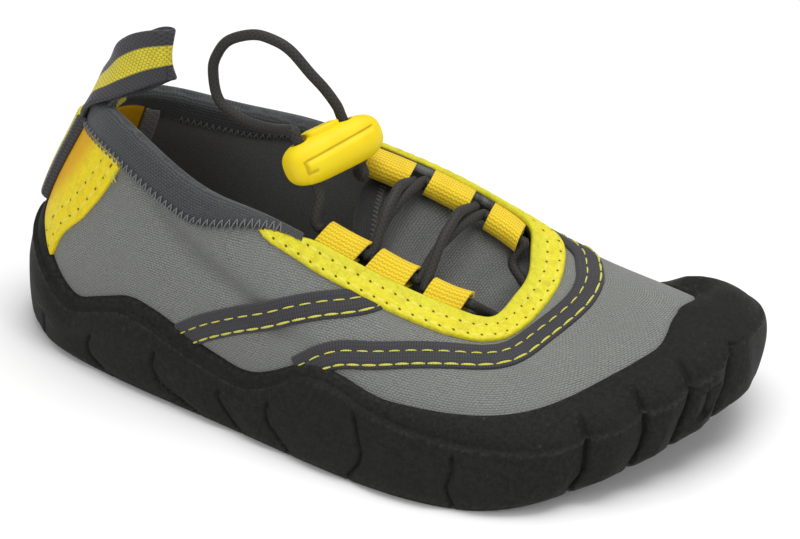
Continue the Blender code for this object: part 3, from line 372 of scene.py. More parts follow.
    def bottom_edge(self, station: Array, inset: Array | float = 0.0, lift: Array | float = 0.0) -> Array:
        """Outer edge of the tread under a station, moved in and up.

        Args:
            station: Places round the foot.
            inset: How far in from the edge.
            lift: How far over the tread.

        Returns:
            Points.
        """
        rib = self.rib(station)
        xy = rib[..., :2] + self.plan_normal(station) * (rib[..., -1] - inset)[..., None]
        side = np.where(np.mod(station, self.count) > self.toe_station, 1.0, -1.0)
        return upright(xy, self.ground(xy[..., 0], side) + lift)

    def shift(self, station: Array, rise: Array, vector: Array) -> tuple[Array, Array]:
        """Changes of station and rise that move a place by a vector in the face, by least squares.

        Args:
            station: Places round the foot.
            rise: Places up the rib.
            vector: The move, in millimetres.

        Returns:
            The two changes.
        """
        round_foot, up_rib = self.slopes(station, rise)
        pairs = ((round_foot, round_foot), (round_foot, up_rib), (up_rib, up_rib),
                 (vector, round_foot), (vector, up_rib))
        a, b, c, p, q = ((first * second).sum(-1) for first, second in pairs)
        return (c * p - b * q) / (a * c - b * b), (a * q - b * p) / (a * c - b * b)

    def across(self, station: Array) -> Array:
        """Station on the other side of the throat.

        Args:
            station: Places along the throat.

        Returns:
            Their stations opposite.
        """
        lateral, medial, _ = np.array(self.throat)[::-1].T
        sides = np.concatenate([lateral, medial[::-1]])
        partners = np.concatenate([medial, lateral[::-1]])
        return np.interp(station, sides, partners)


LAST = Last()


class Value:
    """A shader socket that takes part in Python arithmetic: each operator adds a Math node."""

    def __init__(self, graph: "Graph", socket: Socket) -> None:
        """Keeps the graph and the socket."""
        self.graph = graph
        self.socket = socket

    def __add__(self, other: "Value | float") -> "Value":
        """Sum."""
        return self.graph.math("ADD", self, other)

    __radd__ = __add__

    def __sub__(self, other: "Value | float") -> "Value":
        """Difference."""
        return self.graph.math("SUBTRACT", self, other)

    def __rsub__(self, other: "Value | float") -> "Value":
        """Difference from a number."""
        return self.graph.math("SUBTRACT", other, self)

    def __mul__(self, other: "Value | float") -> "Value":
        """Product."""
        return self.graph.math("MULTIPLY", self, other)

    __rmul__ = __mul__

    def __truediv__(self, other: "Value | float") -> "Value":
        """Quotient."""
        return self.graph.math("DIVIDE", self, other)

    def __abs__(self) -> "Value":
        """Size without sign."""
        return self.graph.math("ABSOLUTE", self)

    def sine(self) -> "Value":
        """Sine of the value in radians."""
        return self.graph.math("SINE", self)

    def fraction(self) -> "Value":
        """Part after the whole number."""
        return self.graph.math("FRACT", self)

    def floor(self) -> "Value":
        """Whole number below."""
        return self.graph.math("FLOOR", self)

    def highest(self, other: "Value | float") -> "Value":
        """The larger of two values."""
        return self.graph.math("MAXIMUM", self, other)

    def root(self) -> "Value":
        """Square root."""
        return self.graph.math("SQRT", self)

    def step(self, low: float, high: float) -> "Value":
        """Soft step from 0 at low to 1 at high."""
        node = self.graph.node("ShaderNodeMapRange", {"interpolation_type": "SMOOTHSTEP"},
                               {"Value": self, "From Min": low, "From Max": high})
        return Value(self.graph, node.outputs[0])


class Graph:
    """The node tree of one material, ending in a Principled shader."""

    def __init__(self, name: str) -> None:
        """Starts an empty material.

        Args:
            name: The material's name.
        """
        self.material = bpy.data.materials.new(name)
        self.material.use_nodes = True
        self.tree = self.material.node_tree
        self.tree.nodes.clear()

    def node(self, kind: str, settings: dict[str, Any], inputs: dict[Any, Any]) -> bpy.types.Node:
        """Adds a node.

        Args:
            kind: Blender's name of the node type.
            settings: The node's own properties, set first.
            inputs: Values or links of its sockets, by name or number.

        Returns:
            The node.
        """
        node = self.tree.nodes.new(kind)
        for key, value in settings.items():
            setattr(node, key, value)
        for key, value in inputs.items():
            if isinstance(value, Value):
                value = value.socket
            if isinstance(value, Socket):
                self.tree.links.new(value, node.inputs[key])
            else:
                node.inputs[key].default_value = value
        return node

    def math(self, operation: str, *values: "Value | float") -> Value:
        """A Math node on one or two values."""
        node = self.node("ShaderNodeMath", {"operation": operation}, dict(enumerate(values)))
        return Value(self, node.outputs[0])

    def uv(self) -> tuple[Value, Value]:
        """Distances along and across the cloth in millimetres, from the piece's own UV map.

        Returns:
            The two distances.
        """
        node = self.node("ShaderNodeUVMap", {"uv_map": "cloth"}, {})
        parts = self.node("ShaderNodeSeparateXYZ", {}, {0: node.outputs[0]})
        return Value(self, parts.outputs[0]), Value(self, parts.outputs[1])

    def noise(self, scale: float, detail: float, rough: float = 0.55) -> Value:
        """Cloudy noise on Object coordinates.

        Args:
            scale: Cycles per metre.
            detail: How many finer layers it has.
            rough: Share of each finer layer.

        Returns:
            The noise, about 0 to 1.
        """
        place = self.node("ShaderNodeTexCoord", {}, {})
        node = self.node("ShaderNodeTexNoise", {}, {"Vector": place.outputs["Object"], "Scale": scale,
                                                    "Detail": detail, "Roughness": rough})
        return Value(self, node.outputs[0])

    def attribute(self, name: str) -> Value:
        """A number kept on the mesh's points."""
        node = self.node("ShaderNodeAttribute", {"attribute_name": name}, {})
        return Value(self, node.outputs["Fac"])

    def mix(self, factor: "Value | float", first: Any, second: Any) -> Socket:
        """A colour between two colours or sockets.

        Args:
            factor: Share of the second colour.
            first: Colour or socket.
            second: Colour or socket.

        Returns:
            The mixed colour.
        """
        first, second = ((*c, 1.0) if isinstance(c, tuple) else c for c in (first, second))
        node = self.node("ShaderNodeMix", {"data_type": "RGBA"}, {0: factor, 6: first, 7: second})
        return node.outputs[2]

    def bump(self, height: Value, distance: float) -> Socket:
        """Normal of a relief whose height of 1 stands for the distance in millimetres."""
        node = self.node("ShaderNodeBump", {}, {"Distance": distance * MM, "Height": height})
        return node.outputs[0]

    def finish(self, **inputs: Any) -> Material:
        """Ends the tree in a Principled shader.

        Args:
            inputs: Values and links by socket, in lower case with underscores.

        Returns:
            The material.
        """
        names = {key.replace("_", " ").title().replace("Ior", "IOR"): value for key, value in inputs.items()}
        shader = self.node("ShaderNodeBsdfPrincipled", {}, names)
        output = self.node("ShaderNodeOutputMaterial", {}, {0: shader.outputs[0]})
        output.is_active_output = True
        return self.material


@dataclass(frozen=True)
class KnitFinish:
    """Knit-faced neoprene or lining: rows of tiny stitches, soft cloudiness and lint."""

    name: str
    colour: Colour
    dark: Colour
    light: Colour
    pitch: float = 0.9
    rows: float = 0.6
    relief: float = 0.09
    sheen: float = 0.25
    shaded: bool = False

    def material(self) -> Material:
        """Rows and wales are sines of the UV distances; noise makes the rows wander.

        Returns:
            The material.
        """
        g = Graph(self.name)
        along, across = g.uv()
        wander = g.noise(260.0, 2.0)
        lint = g.noise(2300.0, 2.0, 0.7)
        cloud = g.noise(140.0, 3.0)
        row = ((across / self.rows + wander * 1.4) * TURN).sine()
        wale = ((along / self.pitch + (across / self.rows).floor() * 0.5) * TURN).sine()
        height = row * 0.18 + wale * 0.12 + lint * 0.9 + 0.05
        tint = g.mix(height.step(0.12, 0.88), self.dark, self.light)
        tint = g.mix(cloud.step(0.35, 0.7) * 0.45, tint, self.colour)
        if self.shaded:
            tint = g.mix(g.attribute("shade") * 0.6, tint, self.dark)
        rough = 0.97 - height * 0.12
        return g.finish(base_color=tint, roughness=rough, normal=g.bump(height, self.relief),
                        sheen_weight=self.sheen, sheen_roughness=0.45, specular_ior_level=0.25)


@dataclass(frozen=True)
class TapeFinish:
    """Woven tape: yarns across and along, and bands of a second colour."""

    name: str
    colour: Colour
    dark: Colour
    weave: Weave = Weave.RIBBED
    pitch: float = 1.0
    count: float = 0.8
    relief: float = 0.16
    band: Colour | None = None
    band_dark: Colour | None = None
    band_half: float = 2.6

    def material(self) -> Material:
        """Yarn height is a sine along the tape, shifted half a turn in every other row across it.

        Returns:
            The material.
        """
        g = Graph(self.name)
        along, across = g.uv()
        row = (across / self.count).floor()
        odd = (row * 0.5).fraction() * 2
        shift = odd * 0.5 if self.weave is Weave.BASKET else odd * 0.18
        yarn = ((along / self.pitch + shift) * TURN).sine() * 0.5 + 0.5
        valley = abs((across / self.count).fraction() - 0.5) * 2
        fibre = g.noise(4200.0, 3.0, 0.7)
        height = yarn * 0.62 + (1 - valley * valley) * 0.3 + fibre * 0.25
        low = 1 - height.step(0.18, 0.72)
        tint = g.mix(low * 0.75, self.colour, self.dark)
        if self.band is not None:
            inside = 1 - abs(across).step(self.band_half - 0.22, self.band_half + 0.22)
            tint = g.mix(inside, tint, g.mix(low * 0.85, self.band, self.band_dark))
        tint = g.mix(g.noise(180.0, 2.0).step(0.45, 0.8) * 0.22, tint, self.dark)
        return g.finish(base_color=tint, roughness=0.78 - height * 0.14, normal=g.bump(height, self.relief),
                        sheen_weight=0.2, sheen_roughness=0.4, specular_ior_level=0.35)


@dataclass(frozen=True)
class FacingFinish:
    """Coated facing with a fine pebble and rows of stitch holes, pulled in round each hole."""

    name: str
    colour: Colour
    warm: Colour
    dark: Colour
    rows: tuple[float, ...]
    # Painted light far from the edge: its tint, the distances over which it comes in, and its share
    # Painted shade on the counter and its lining patch, a painted sheen on the eyestay
    far: Colour
    painted_light_range: Triple
    spacing: float = 3.4
    hole: float = 0.30
    hole_shade: Colour = (0.05, 0.042, 0.006)
    thread: Colour = (0.90, 0.84, 0.20)

    def material(self) -> Material:
        """Holes are discs at even distances along each row; thread lies as a ridge between them.

        Returns:
            The material.
        """
        g = Graph(self.name)
        along, across = g.uv()
        pebble = g.noise(1500.0, 4.0, 0.62)
        cloud = g.noise(120.0, 3.0)
        crease = g.noise(380.0, 3.0, 0.6)
        holes: Value | float = 0.0
        pull: Value | float = 0.0
        sewn: Value | float = 0.0
        for number, row in enumerate(self.rows):
            near = ((along / self.spacing + 0.5 * number).fraction() - 0.5) * self.spacing
            off = across - row
            far = (near * near + off * off * 1.4).root()
            holes = (1 - far.step(self.hole * 0.75, self.hole * 1.35)) + holes
            thread = (1 - abs(off).step(0.18, 0.5)) * abs(near).step(0.5, 1.1)
            pull = (1 - far.step(0.2, 1.5)) * 0.8 - thread * 0.45 + pull
            sewn = thread + sewn
        height = pebble * 0.5 + crease * 1.2 - pull * 0.7 - holes * 0.8
        start, stop, share = self.painted_light_range
        tint = g.mix(cloud.step(0.4, 0.72) * 0.6, self.colour, self.warm)
        # Painted light that comes in away from the edge: shade on the counter, sheen on the eyestay.
        tint = g.mix(across.step(start, stop) * share, tint, self.far)
        tint = g.mix((1 - pebble.step(0.3, 0.6)) * 0.3, tint, self.dark)
        # Painted shade in the hollows of the creases.
        tint = g.mix((1 - crease.step(0.36, 0.5)) * 0.3, tint, self.dark)
        tint = g.mix(sewn * 0.3, tint, self.thread)
        # Painted shade inside the stitch holes.
        tint = g.mix(g.math("MINIMUM", holes, 1.0) * 0.93, tint, self.hole_shade)
        return g.finish(base_color=tint, roughness=0.7 - pebble * 0.2, normal=g.bump(height, 0.24),
                        specular_ior_level=0.25)


@dataclass(frozen=True)
class RubberFinish:
    """Moulded rubber: stipple, dusty bloom, pale rubbed spots, and paler edges: part wear, part painted
    highlight.
    """

    name: str
    colour: Colour
    bloom: Colour
    scuff_and_highlight: Colour

    def material(self) -> Material:
        """Stipple and bloom are two noises; rubbed specks show where a third one peaks.

        Returns:
            The material.
        """
        g = Graph(self.name)
        stipple = g.noise(2200.0, 3.0, 0.65)
        grain = g.noise(900.0, 4.0, 0.65)
        bloom = g.noise(60.0, 4.0, 0.6)
        speck = g.noise(900.0, 1.0, 0.4).step(0.76, 0.82)
        tint = g.mix(grain.step(0.36, 0.66) * 0.7 + stipple.step(0.4, 0.65) * 0.3, self.colour, self.bloom)
        tint = g.mix(bloom.step(0.4, 0.68) * 0.4, tint, self.bloom)
        tint = g.mix(speck * 0.5, tint, self.scuff_and_highlight)
        # Paler where the mesh's number is high: rubbed wear on the tread and bottom edge, painted highlight
        # along the lip.
        wear_and_highlight = g.attribute("wear_and_highlight")
        tint = g.mix(wear_and_highlight * grain.step(0.35, 0.7) * 0.5, tint, self.scuff_and_highlight)
        rough = 0.66 + bloom * 0.16 - stipple * 0.12
        height = stipple * 0.7 + grain
        return g.finish(base_color=tint, roughness=rough, normal=g.bump(height, 0.3), specular_ior_level=0.2)


@dataclass(frozen=True)
class CordFinish:
    """Braided elastic cord: two helices of yarn that cross."""

    name: str
    colour: Colour
    light: Colour
    lay: float = 1.3
    strands: int = 6

    def material(self) -> Material:
        """Height is the larger of two helices, which are sines of length plus and minus turn.

        Returns:
            The material.
        """
        g = Graph(self.name)
        along, turn = g.uv()
        first = ((along / self.lay + turn * self.strands) * TURN).sine()
        second = ((along / self.lay - turn * self.strands) * TURN).sine()
        fibre = g.noise(5200.0, 2.0, 0.7)
        height = first.highest(second) * 0.45 + 0.35 + fibre * 0.3
        tint = g.mix(height.step(0.35, 1.0), self.colour, self.light)
        return g.finish(base_color=tint, roughness=0.72 - fibre * 0.2, normal=g.bump(height, 0.04),
                        specular_ior_level=0.3, sheen_weight=0.12, sheen_roughness=0.4)


@dataclass(frozen=True)
class PlasticFinish:
    """Moulded plastic with faint flow marks, a soft gloss and painted shade in its recesses."""

    name: str
    colour: Colour
    warm: Colour
    recess_shade: Colour = (0.16, 0.07, 0.0)

    def material(self) -> Material:
        """Flow marks are slow noise in the colour; fine noise breaks the gloss.

        Returns:
            The material.
        """
        g = Graph(self.name)
        flow = g.noise(140.0, 2.0)
        fine = g.noise(3000.0, 2.0)
        tint = g.mix(flow.step(0.35, 0.7) * 0.6, self.colour, self.warm)
        # Painted shade where the mesh's shade number is high: the lock's groove and cord holes.
        tint = g.mix(g.attribute("shade") * 0.85, tint, self.recess_shade)
        return g.finish(base_color=tint, roughness=0.42 + flow * 0.12 + fine * 0.06,
                        normal=g.bump(fine * 0.4 + flow, 0.05), specular_ior_level=0.32)


@dataclass(frozen=True)
class ThreadFinish:
    """Sewing thread with its twist."""

    name: str
    colour: Colour
    dark: Colour
    twist: float = 0.55

    def material(self) -> Material:
        """Twist is a sine of length plus turn.

        Returns:
            The material.
        """
        g = Graph(self.name)
        along, turn = g.uv()
        twist = ((along / self.twist + turn * 2) * TURN).sine() * 0.5 + 0.5
        tint = g.mix((1 - twist) * 0.6, self.colour, self.dark)
        return g.finish(base_color=tint, roughness=0.6 + twist * 0.1, normal=g.bump(twist, 0.08),
                        sheen_weight=0.2, sheen_roughness=0.4)


NEOPRENE = KnitFinish("knit_neoprene", (0.182, 0.188, 0.175), (0.108, 0.112, 0.104), (0.27, 0.276, 0.258),
                      shaded=True)
TONGUE_KNIT = KnitFinish("tongue_knit", (0.108, 0.113, 0.11), (0.055, 0.058, 0.057), (0.165, 0.17, 0.164),
                         shaded=True)
# The lining's grey is made lighter than the cloth: painted light inside the shoe, where little lamp light
# reaches.
LINING = KnitFinish("lining_knit", (0.18, 0.186, 0.182), (0.11, 0.114, 0.112), (0.26, 0.265, 0.26),
                    sheen=0.12)
SEAM_TAPE = KnitFinish("seam_tape", (0.24, 0.243, 0.235), (0.12, 0.122, 0.118), (0.36, 0.363, 0.35),
                       sheen=0.12)
BINDING = KnitFinish("binding_tape", (0.058, 0.061, 0.064), (0.028, 0.03, 0.032), (0.088, 0.092, 0.096),
                     relief=0.06)
# A darker copy of the binding tape: the tape's own dark with painted shade at the tongue's rear.
SHADED_TONGUE_TAPE = KnitFinish("shaded_tongue_tape", (0.026, 0.027, 0.029), (0.013, 0.014, 0.015), (0.042, 0.044, 0.047),
                         relief=0.06)
# The eyestay's far tint is a painted lime sheen on its inner half; the counter's is painted orange shade.
EYESTAY = FacingFinish("eyestay_facing", (0.78, 0.71, 0.035), (0.78, 0.64, 0.014), (0.44, 0.37, 0.012),
                       (1.5, 4.6), (0.60, 0.60, 0.035), (3.6, 7.6, 0.55))
COUNTER = FacingFinish("counter_facing", (0.90, 0.72, 0.012), (0.88, 0.62, 0.010), (0.66, 0.46, 0.006),
                       (2.2, 5.6), (0.78, 0.36, 0.004), (8.0, 14.0, 0.85), spacing=4.2)
RIBBON = TapeFinish("stripe_ribbon", (0.047, 0.046, 0.053), (0.013, 0.013, 0.015), pitch=0.62, count=0.9,
                    relief=0.1)
PULL_TAPE = TapeFinish("pull_tape", (0.058, 0.056, 0.064), (0.010, 0.010, 0.012), Weave.BASKET, 1.15, 0.62,
                       band=(0.80, 0.68, 0.04), band_dark=(0.22, 0.17, 0.008))
PATCH_TAPE = replace(PULL_TAPE, name="patch_tape", band_half=3.0)
WEBBING = TapeFinish("loop_webbing", (0.88, 0.64, 0.018), (0.52, 0.31, 0.003), pitch=1.0, count=0.62)
CORD = CordFinish("braided_cord", (0.019, 0.018, 0.016), (0.036, 0.034, 0.030))
RUBBER = RubberFinish("moulded_rubber", (0.0055, 0.0055, 0.005), (0.0165, 0.0165, 0.0152),
                      (0.07, 0.07, 0.065))
PLASTIC = PlasticFinish("lock_plastic", (0.88, 0.68, 0.004), (0.87, 0.60, 0.003))
YELLOW_THREAD = ThreadFinish("yellow_thread", (0.80, 0.77, 0.12), (0.40, 0.35, 0.03))
GREY_THREAD = ThreadFinish("grey_thread", (0.25, 0.255, 0.26), (0.08, 0.083, 0.087))
DARK_THREAD = ThreadFinish("dark_thread", (0.12, 0.122, 0.125), (0.04, 0.042, 0.044))


@dataclass
class Grid:
    """A surface worked out as points on rows and columns, with its cloth distances and shade."""

    points: Array
    uv: Array
    shade: Array | None = None

    def faces(self, start: int, ring: bool) -> Array:
        """Quads between neighbouring rows and columns, numbered from start.

        Args:
            start: Number of the grid's first point.
            ring: Whether the last column joins the first.

        Returns:
            Point numbers, four for each quad.
        """
        rows, columns = self.points.shape[:2]
        numbers = start + np.arange(rows * columns).reshape(rows, columns)
        if ring:
            numbers = np.concatenate([numbers, numbers[:, :1]], 1)
        quads = np.stack([numbers[:-1, :-1], numbers[:-1, 1:], numbers[1:, 1:], numbers[1:, :-1]], -1)
        return quads.reshape(-1, 4)


def strip(first: Array, second: Array, uv: Array) -> Grid:
    """Narrow grid between two lines of points that share their cloth distances."""
    return Grid(np.stack([first, second]), np.stack([uv, uv]))


def disc(ring: Array, middle: Array, uv: Array) -> Grid:
    """Grid that closes a ring, drawn in almost to its middle."""
    return strip(ring, middle + (ring - middle) * 0.001, uv)


@dataclass
class Piece:
    """One object of the scene, put together from grids whose shared borders are merged."""

    name: str
    slot: str
    replaces: tuple[str, ...] = ()
    grids: list[tuple[Grid, Array, int]] = field(default_factory=list)
    start: int = 0

    def add(self, grid: Grid, ring: bool = False, finish: int = 0) -> "Piece":
        """Adds a grid.

        Args:
            grid: The grid.
            ring: Whether its last column joins the first.
            finish: Which of the piece's materials it takes.

        Returns:
            The piece itself.
        """
        self.grids.append((grid, grid.faces(self.start, ring), finish))
        self.start += grid.points.shape[0] * grid.points.shape[1]
        return self

    def carried(self, grid: Grid) -> "Piece":
        """Adds a ring carried along a path, and a disc over each of its ends.

        Args:
            grid: One closed ring in each row.

        Returns:
            The piece itself.
        """
        self.add(grid, ring=True)
        for end in (0, -1):
            ring = grid.points[end]
            self.add(disc(ring, ring.mean(0), grid.uv[end]), ring=True)
        return self

    def tube(self, path: Array, radius: float, sides: int = 20) -> "Piece":
        """Adds a round tube: a circle carried along a path on axes that turn as little as they can.

        Args:
            path: Points of the centre line.
            radius: Radius of the tube.
            sides: Points round it.

        Returns:
            The piece itself.
        """
        tangent = unit(np.gradient(path, axis=0))
        side = np.empty_like(path)
        side[0] = unit(np.cross(tangent[0], (0.3, 0.5, 0.8)))
        for i in range(1, len(path)):
            side[i] = unit(side[i - 1] - tangent[i] * (side[i - 1] @ tangent[i]))
        lift = np.cross(tangent, side)
        turn = np.linspace(0, TURN, sides + 1)
        ring = side[:, None] * np.cos(turn)[:, None] + lift[:, None] * np.sin(turn)[:, None]
        points = path[:, None] + radius * ring
        self.add(Grid(points, paired(run_length(path)[:, None], turn / TURN)))
        for end in (points[0], points[-1]):
            self.add(disc(end, end[:-1].mean(0), np.zeros((sides + 1, 2))))
        return self

    def tubes(self, points: Array, radius: float) -> "Piece":
        """Adds short threads: each row of points becomes a tube that narrows to its ends.

        Args:
            points: Rows of points, one row for each thread.
            radius: Radius of the thread at its middle.

        Returns:
            The piece itself.
        """
        sides = 6
        count, along = points.shape[:2]
        tangent = unit(np.gradient(points, axis=1))
        side = unit(np.cross(tangent, UP + 0.01))
        lift = np.cross(side, tangent)
        turn = np.linspace(0, TURN, sides, endpoint=False)
        narrow = np.sqrt(np.sin(np.pi * np.linspace(0.04, 0.96, along)))[None, :, None, None]
        ring = side[:, :, None] * np.cos(turn)[:, None] + lift[:, :, None] * np.sin(turn)[:, None]
        tube = points[:, :, None] + ring * radius * narrow
        numbers = self.start + np.arange(count * along * sides).reshape(count, along, sides)
        after = np.roll(numbers, -1, 2)
        quads = np.stack([numbers[:, :-1], after[:, :-1], after[:, 1:], numbers[:, 1:]], -1).reshape(-1, 4)
        length = lengths(points[:, -1] - points[:, 0])[:, None, None]
        run = np.linspace(0, 1, along)[None, :, None] * length
        uv = paired(run, turn / TURN)
        self.grids.append((Grid(tube.reshape(1, -1, 3), uv.reshape(1, -1, 2)), quads, 0))
        self.start += count * along * sides
        return self

    def make(self, *finishes: Material, closed: bool = True, attribute: str = "shade") -> Object:
        """Puts the grids into a mesh, in metres, and hangs the piece on the shoe.

        Args:
            finishes: Materials in the order of the grids' finish numbers.
            closed: Whether the piece is a closed solid: borders that meet are merged, faces turned outwards.
            attribute: Name of the number kept on the points from the grids' shades.

        Returns:
            The object.
        """
        mesh = bpy.data.meshes.new(self.name)
        points = np.concatenate([grid.points.reshape(-1, 3) for grid, _, _ in self.grids])
        faces = np.concatenate([quads for _, quads, _ in self.grids])
        uv = np.concatenate([grid.uv.reshape(-1, 2) for grid, _, _ in self.grids])
        mesh.from_pydata((points - CENTRE) * MM, [], faces)
        layer = mesh.uv_layers.new(name="cloth")
        corners = np.empty(len(mesh.loops), np.int32)
        mesh.loops.foreach_get("vertex_index", corners)
        layer.data.foreach_set("uv", uv[corners].astype(np.float32).ravel())
        kept = mesh.attributes.new(attribute, "FLOAT", "POINT")
        shades = [np.zeros(grid.points.shape[:2]) if grid.shade is None else grid.shade
                  for grid, _, _ in self.grids]
        shade = np.concatenate([values.ravel() for values in shades])
        kept.data.foreach_set("value", shade.astype(np.float32))
        numbers = np.concatenate([np.full(len(quads), finish) for _, quads, finish in self.grids])
        mesh.polygons.foreach_set("material_index", numbers.astype(np.int32))
        for finish in finishes:
            mesh.materials.append(finish)
        work = bmesh.new()
        work.from_mesh(mesh)
        if closed:
            bmesh.ops.remove_doubles(work, verts=work.verts, dist=MERGE_DISTANCE)
            bmesh.ops.recalc_face_normals(work, faces=work.faces)
            if work.calc_volume(signed=True) < 0:
                bmesh.ops.reverse_faces(work, faces=work.faces)
        work.to_mesh(mesh)
        work.free()
        mesh.shade_smooth()
        obj = bpy.data.objects.new(self.name, mesh)
        bpy.context.scene.collection.objects.link(obj)
        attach(obj, BODY)
        if self.replaces:
            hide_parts(*self.replaces)
        log.info("%s: %d faces", self.name, len(mesh.polygons))
        return obj


@dataclass
class Studio:
    """Camera at the photograph's angle, pale floor and soft lights."""

    azimuth: float = 24.5
    elevation: float = 31.5
    distance: float = 0.620
    focal_pixels: float = 2548.0
    frame_pixels: float = 800.0
    target: Triple = (102.2, 11.0, 25.0)
    floor_half: float = 3.0
    # Soft boxes: name, place, size and watts
    boxes: tuple[tuple[str, Triple, float, float], ...] = (
        ("top_box", (0.12, 0.18, 1.1), 0.9, 9.6),
        ("front_box", (-0.35, -0.85, 0.75), 0.7, 2.7),
        ("toe_box", (0.9, -0.25, 0.55), 0.5, 2.2),
    )
    aim: Triple = (0.0, 0.0, 0.03)
    world_strength: float = 0.35

    def camera(self) -> None:
        """Camera looking at the target from the azimuth and elevation."""
        a, e = np.radians([self.azimuth, self.elevation])
        back = np.array([np.sin(a) * np.cos(e), -np.cos(a) * np.cos(e), np.sin(e)])
        data = bpy.data.cameras.new("camera")
        data.sensor_width = 36.0
        data.lens = self.focal_pixels / self.frame_pixels * data.sensor_width
        data.clip_start = 0.01
        camera = bpy.data.objects.new("camera", data)
        bpy.context.scene.collection.objects.link(camera)
        camera.location = (np.array(self.target) - CENTRE) * MM + back * self.distance
        camera.rotation_mode = "QUATERNION"
        camera.rotation_quaternion = Vector(-back).to_track_quat("-Z", "Y")
        bpy.context.scene.camera = camera

    def floor(self) -> None:
        """Plain pale floor, flat and wide."""
        mesh = bpy.data.meshes.new("floor")
        size = self.floor_half
        corners = [(-size, -size, 0), (size, -size, 0), (size, size, 0), (-size, size, 0)]
        mesh.from_pydata(corners, [], [(0, 1, 2, 3)])
        finish = Graph("pale_floor").finish(base_color=(0.97, 0.97, 0.97, 1.0), roughness=0.8,
                                            specular_ior_level=0.1)
        mesh.materials.append(finish)
        obj = bpy.data.objects.new("floor", mesh)
        bpy.context.scene.collection.objects.link(obj)

    def light(self, name: str, place: Triple, size: float, watts: float) -> None:
        """A square soft box that faces the shoe.

        Args:
            name: Name of the light.
            place: Where it stands, in metres.
            size: Length of its side.
            watts: Its power.
        """
        data = bpy.data.lights.new(name, "AREA")
        data.size = size
        data.energy = watts
        obj = bpy.data.objects.new(name, data)
        bpy.context.scene.collection.objects.link(obj)
        obj.location = place
        obj.rotation_mode = "QUATERNION"
        obj.rotation_quaternion = (Vector(self.aim) - Vector(place)).to_track_quat("-Z", "Y")

    def build(self) -> None:
        """Sets up the camera, the floor, the lights and an even world."""
        self.camera()
        self.floor()
        for box in self.boxes:
            self.light(*box)
        world = bpy.data.worlds.new("studio")
        bpy.context.scene.world = world
        world.use_nodes = True
        background = world.node_tree.nodes["Background"]
        background.inputs["Color"].default_value = (1.0, 1.0, 1.0, 1.0)
        background.inputs["Strength"].default_value = self.world_strength
        bpy.context.scene.view_settings.view_transform = "Standard"


@dataclass
class FreeCord:
    """The free cord: from the top lateral loop through the lock, round its loop and back."""

    radius: float = 1.3
    route: tuple[Triple, ...] = (
        (91.8, -10.4, 45.4), (90.9, -10.6, 45.9), (90.1, -10.6, 47.2), (90.2, -10.0, 49.6),
        (90.6, -8.9, 52.4), (89.8, -8.2, 54.6), (86.9, -7.4, 60.5), (83.6, -6.3, 65.9), (82.7, -6.0, 67.3),
        (80.4, -5.2, 66.6), (76.1, -3.2, 64.9), (71.0, -1.8, 64.1), (65.8, -0.5, 64.2), (59.5, 1.0, 67.0),
        (57.4, 2.5, 73.6), (58.4, 3.2, 78.0), (61.4, 3.8, 81.9), (67.6, 4.0, 84.5), (72.6, 4.0, 84.3),
        (77.3, 4.0, 82.4), (82.3, 4.2, 77.4), (85.6, 5.0, 73.6), (88.2, 5.9, 69.4), (89.3, 6.0, 66.8),
        (92.4, 5.2, 61.2), (95.5, 4.1, 55.4), (96.2, 3.8, 54.1), (95.3, 4.5, 52.6), (93.2, 6.8, 52.0),
        (92.2, 9.0, 51.6), (92.9, 10.2, 51.2), (93.9, 10.4, 51.0),
    )

    def build(self, with_pieces: Sequence[Object]) -> None:
        """Tube along the route.

        Args:
            with_pieces: The cord lock and its button, which sit on the cord. Not used.
        """
        path = even_path(self.route, 260)
        piece = Piece("free_cord", "cord", ("cord_strand_lateral", "cord_loop", "cord_strand_medial"))
        cord = piece.tube(path, self.radius).make(CORD.material())


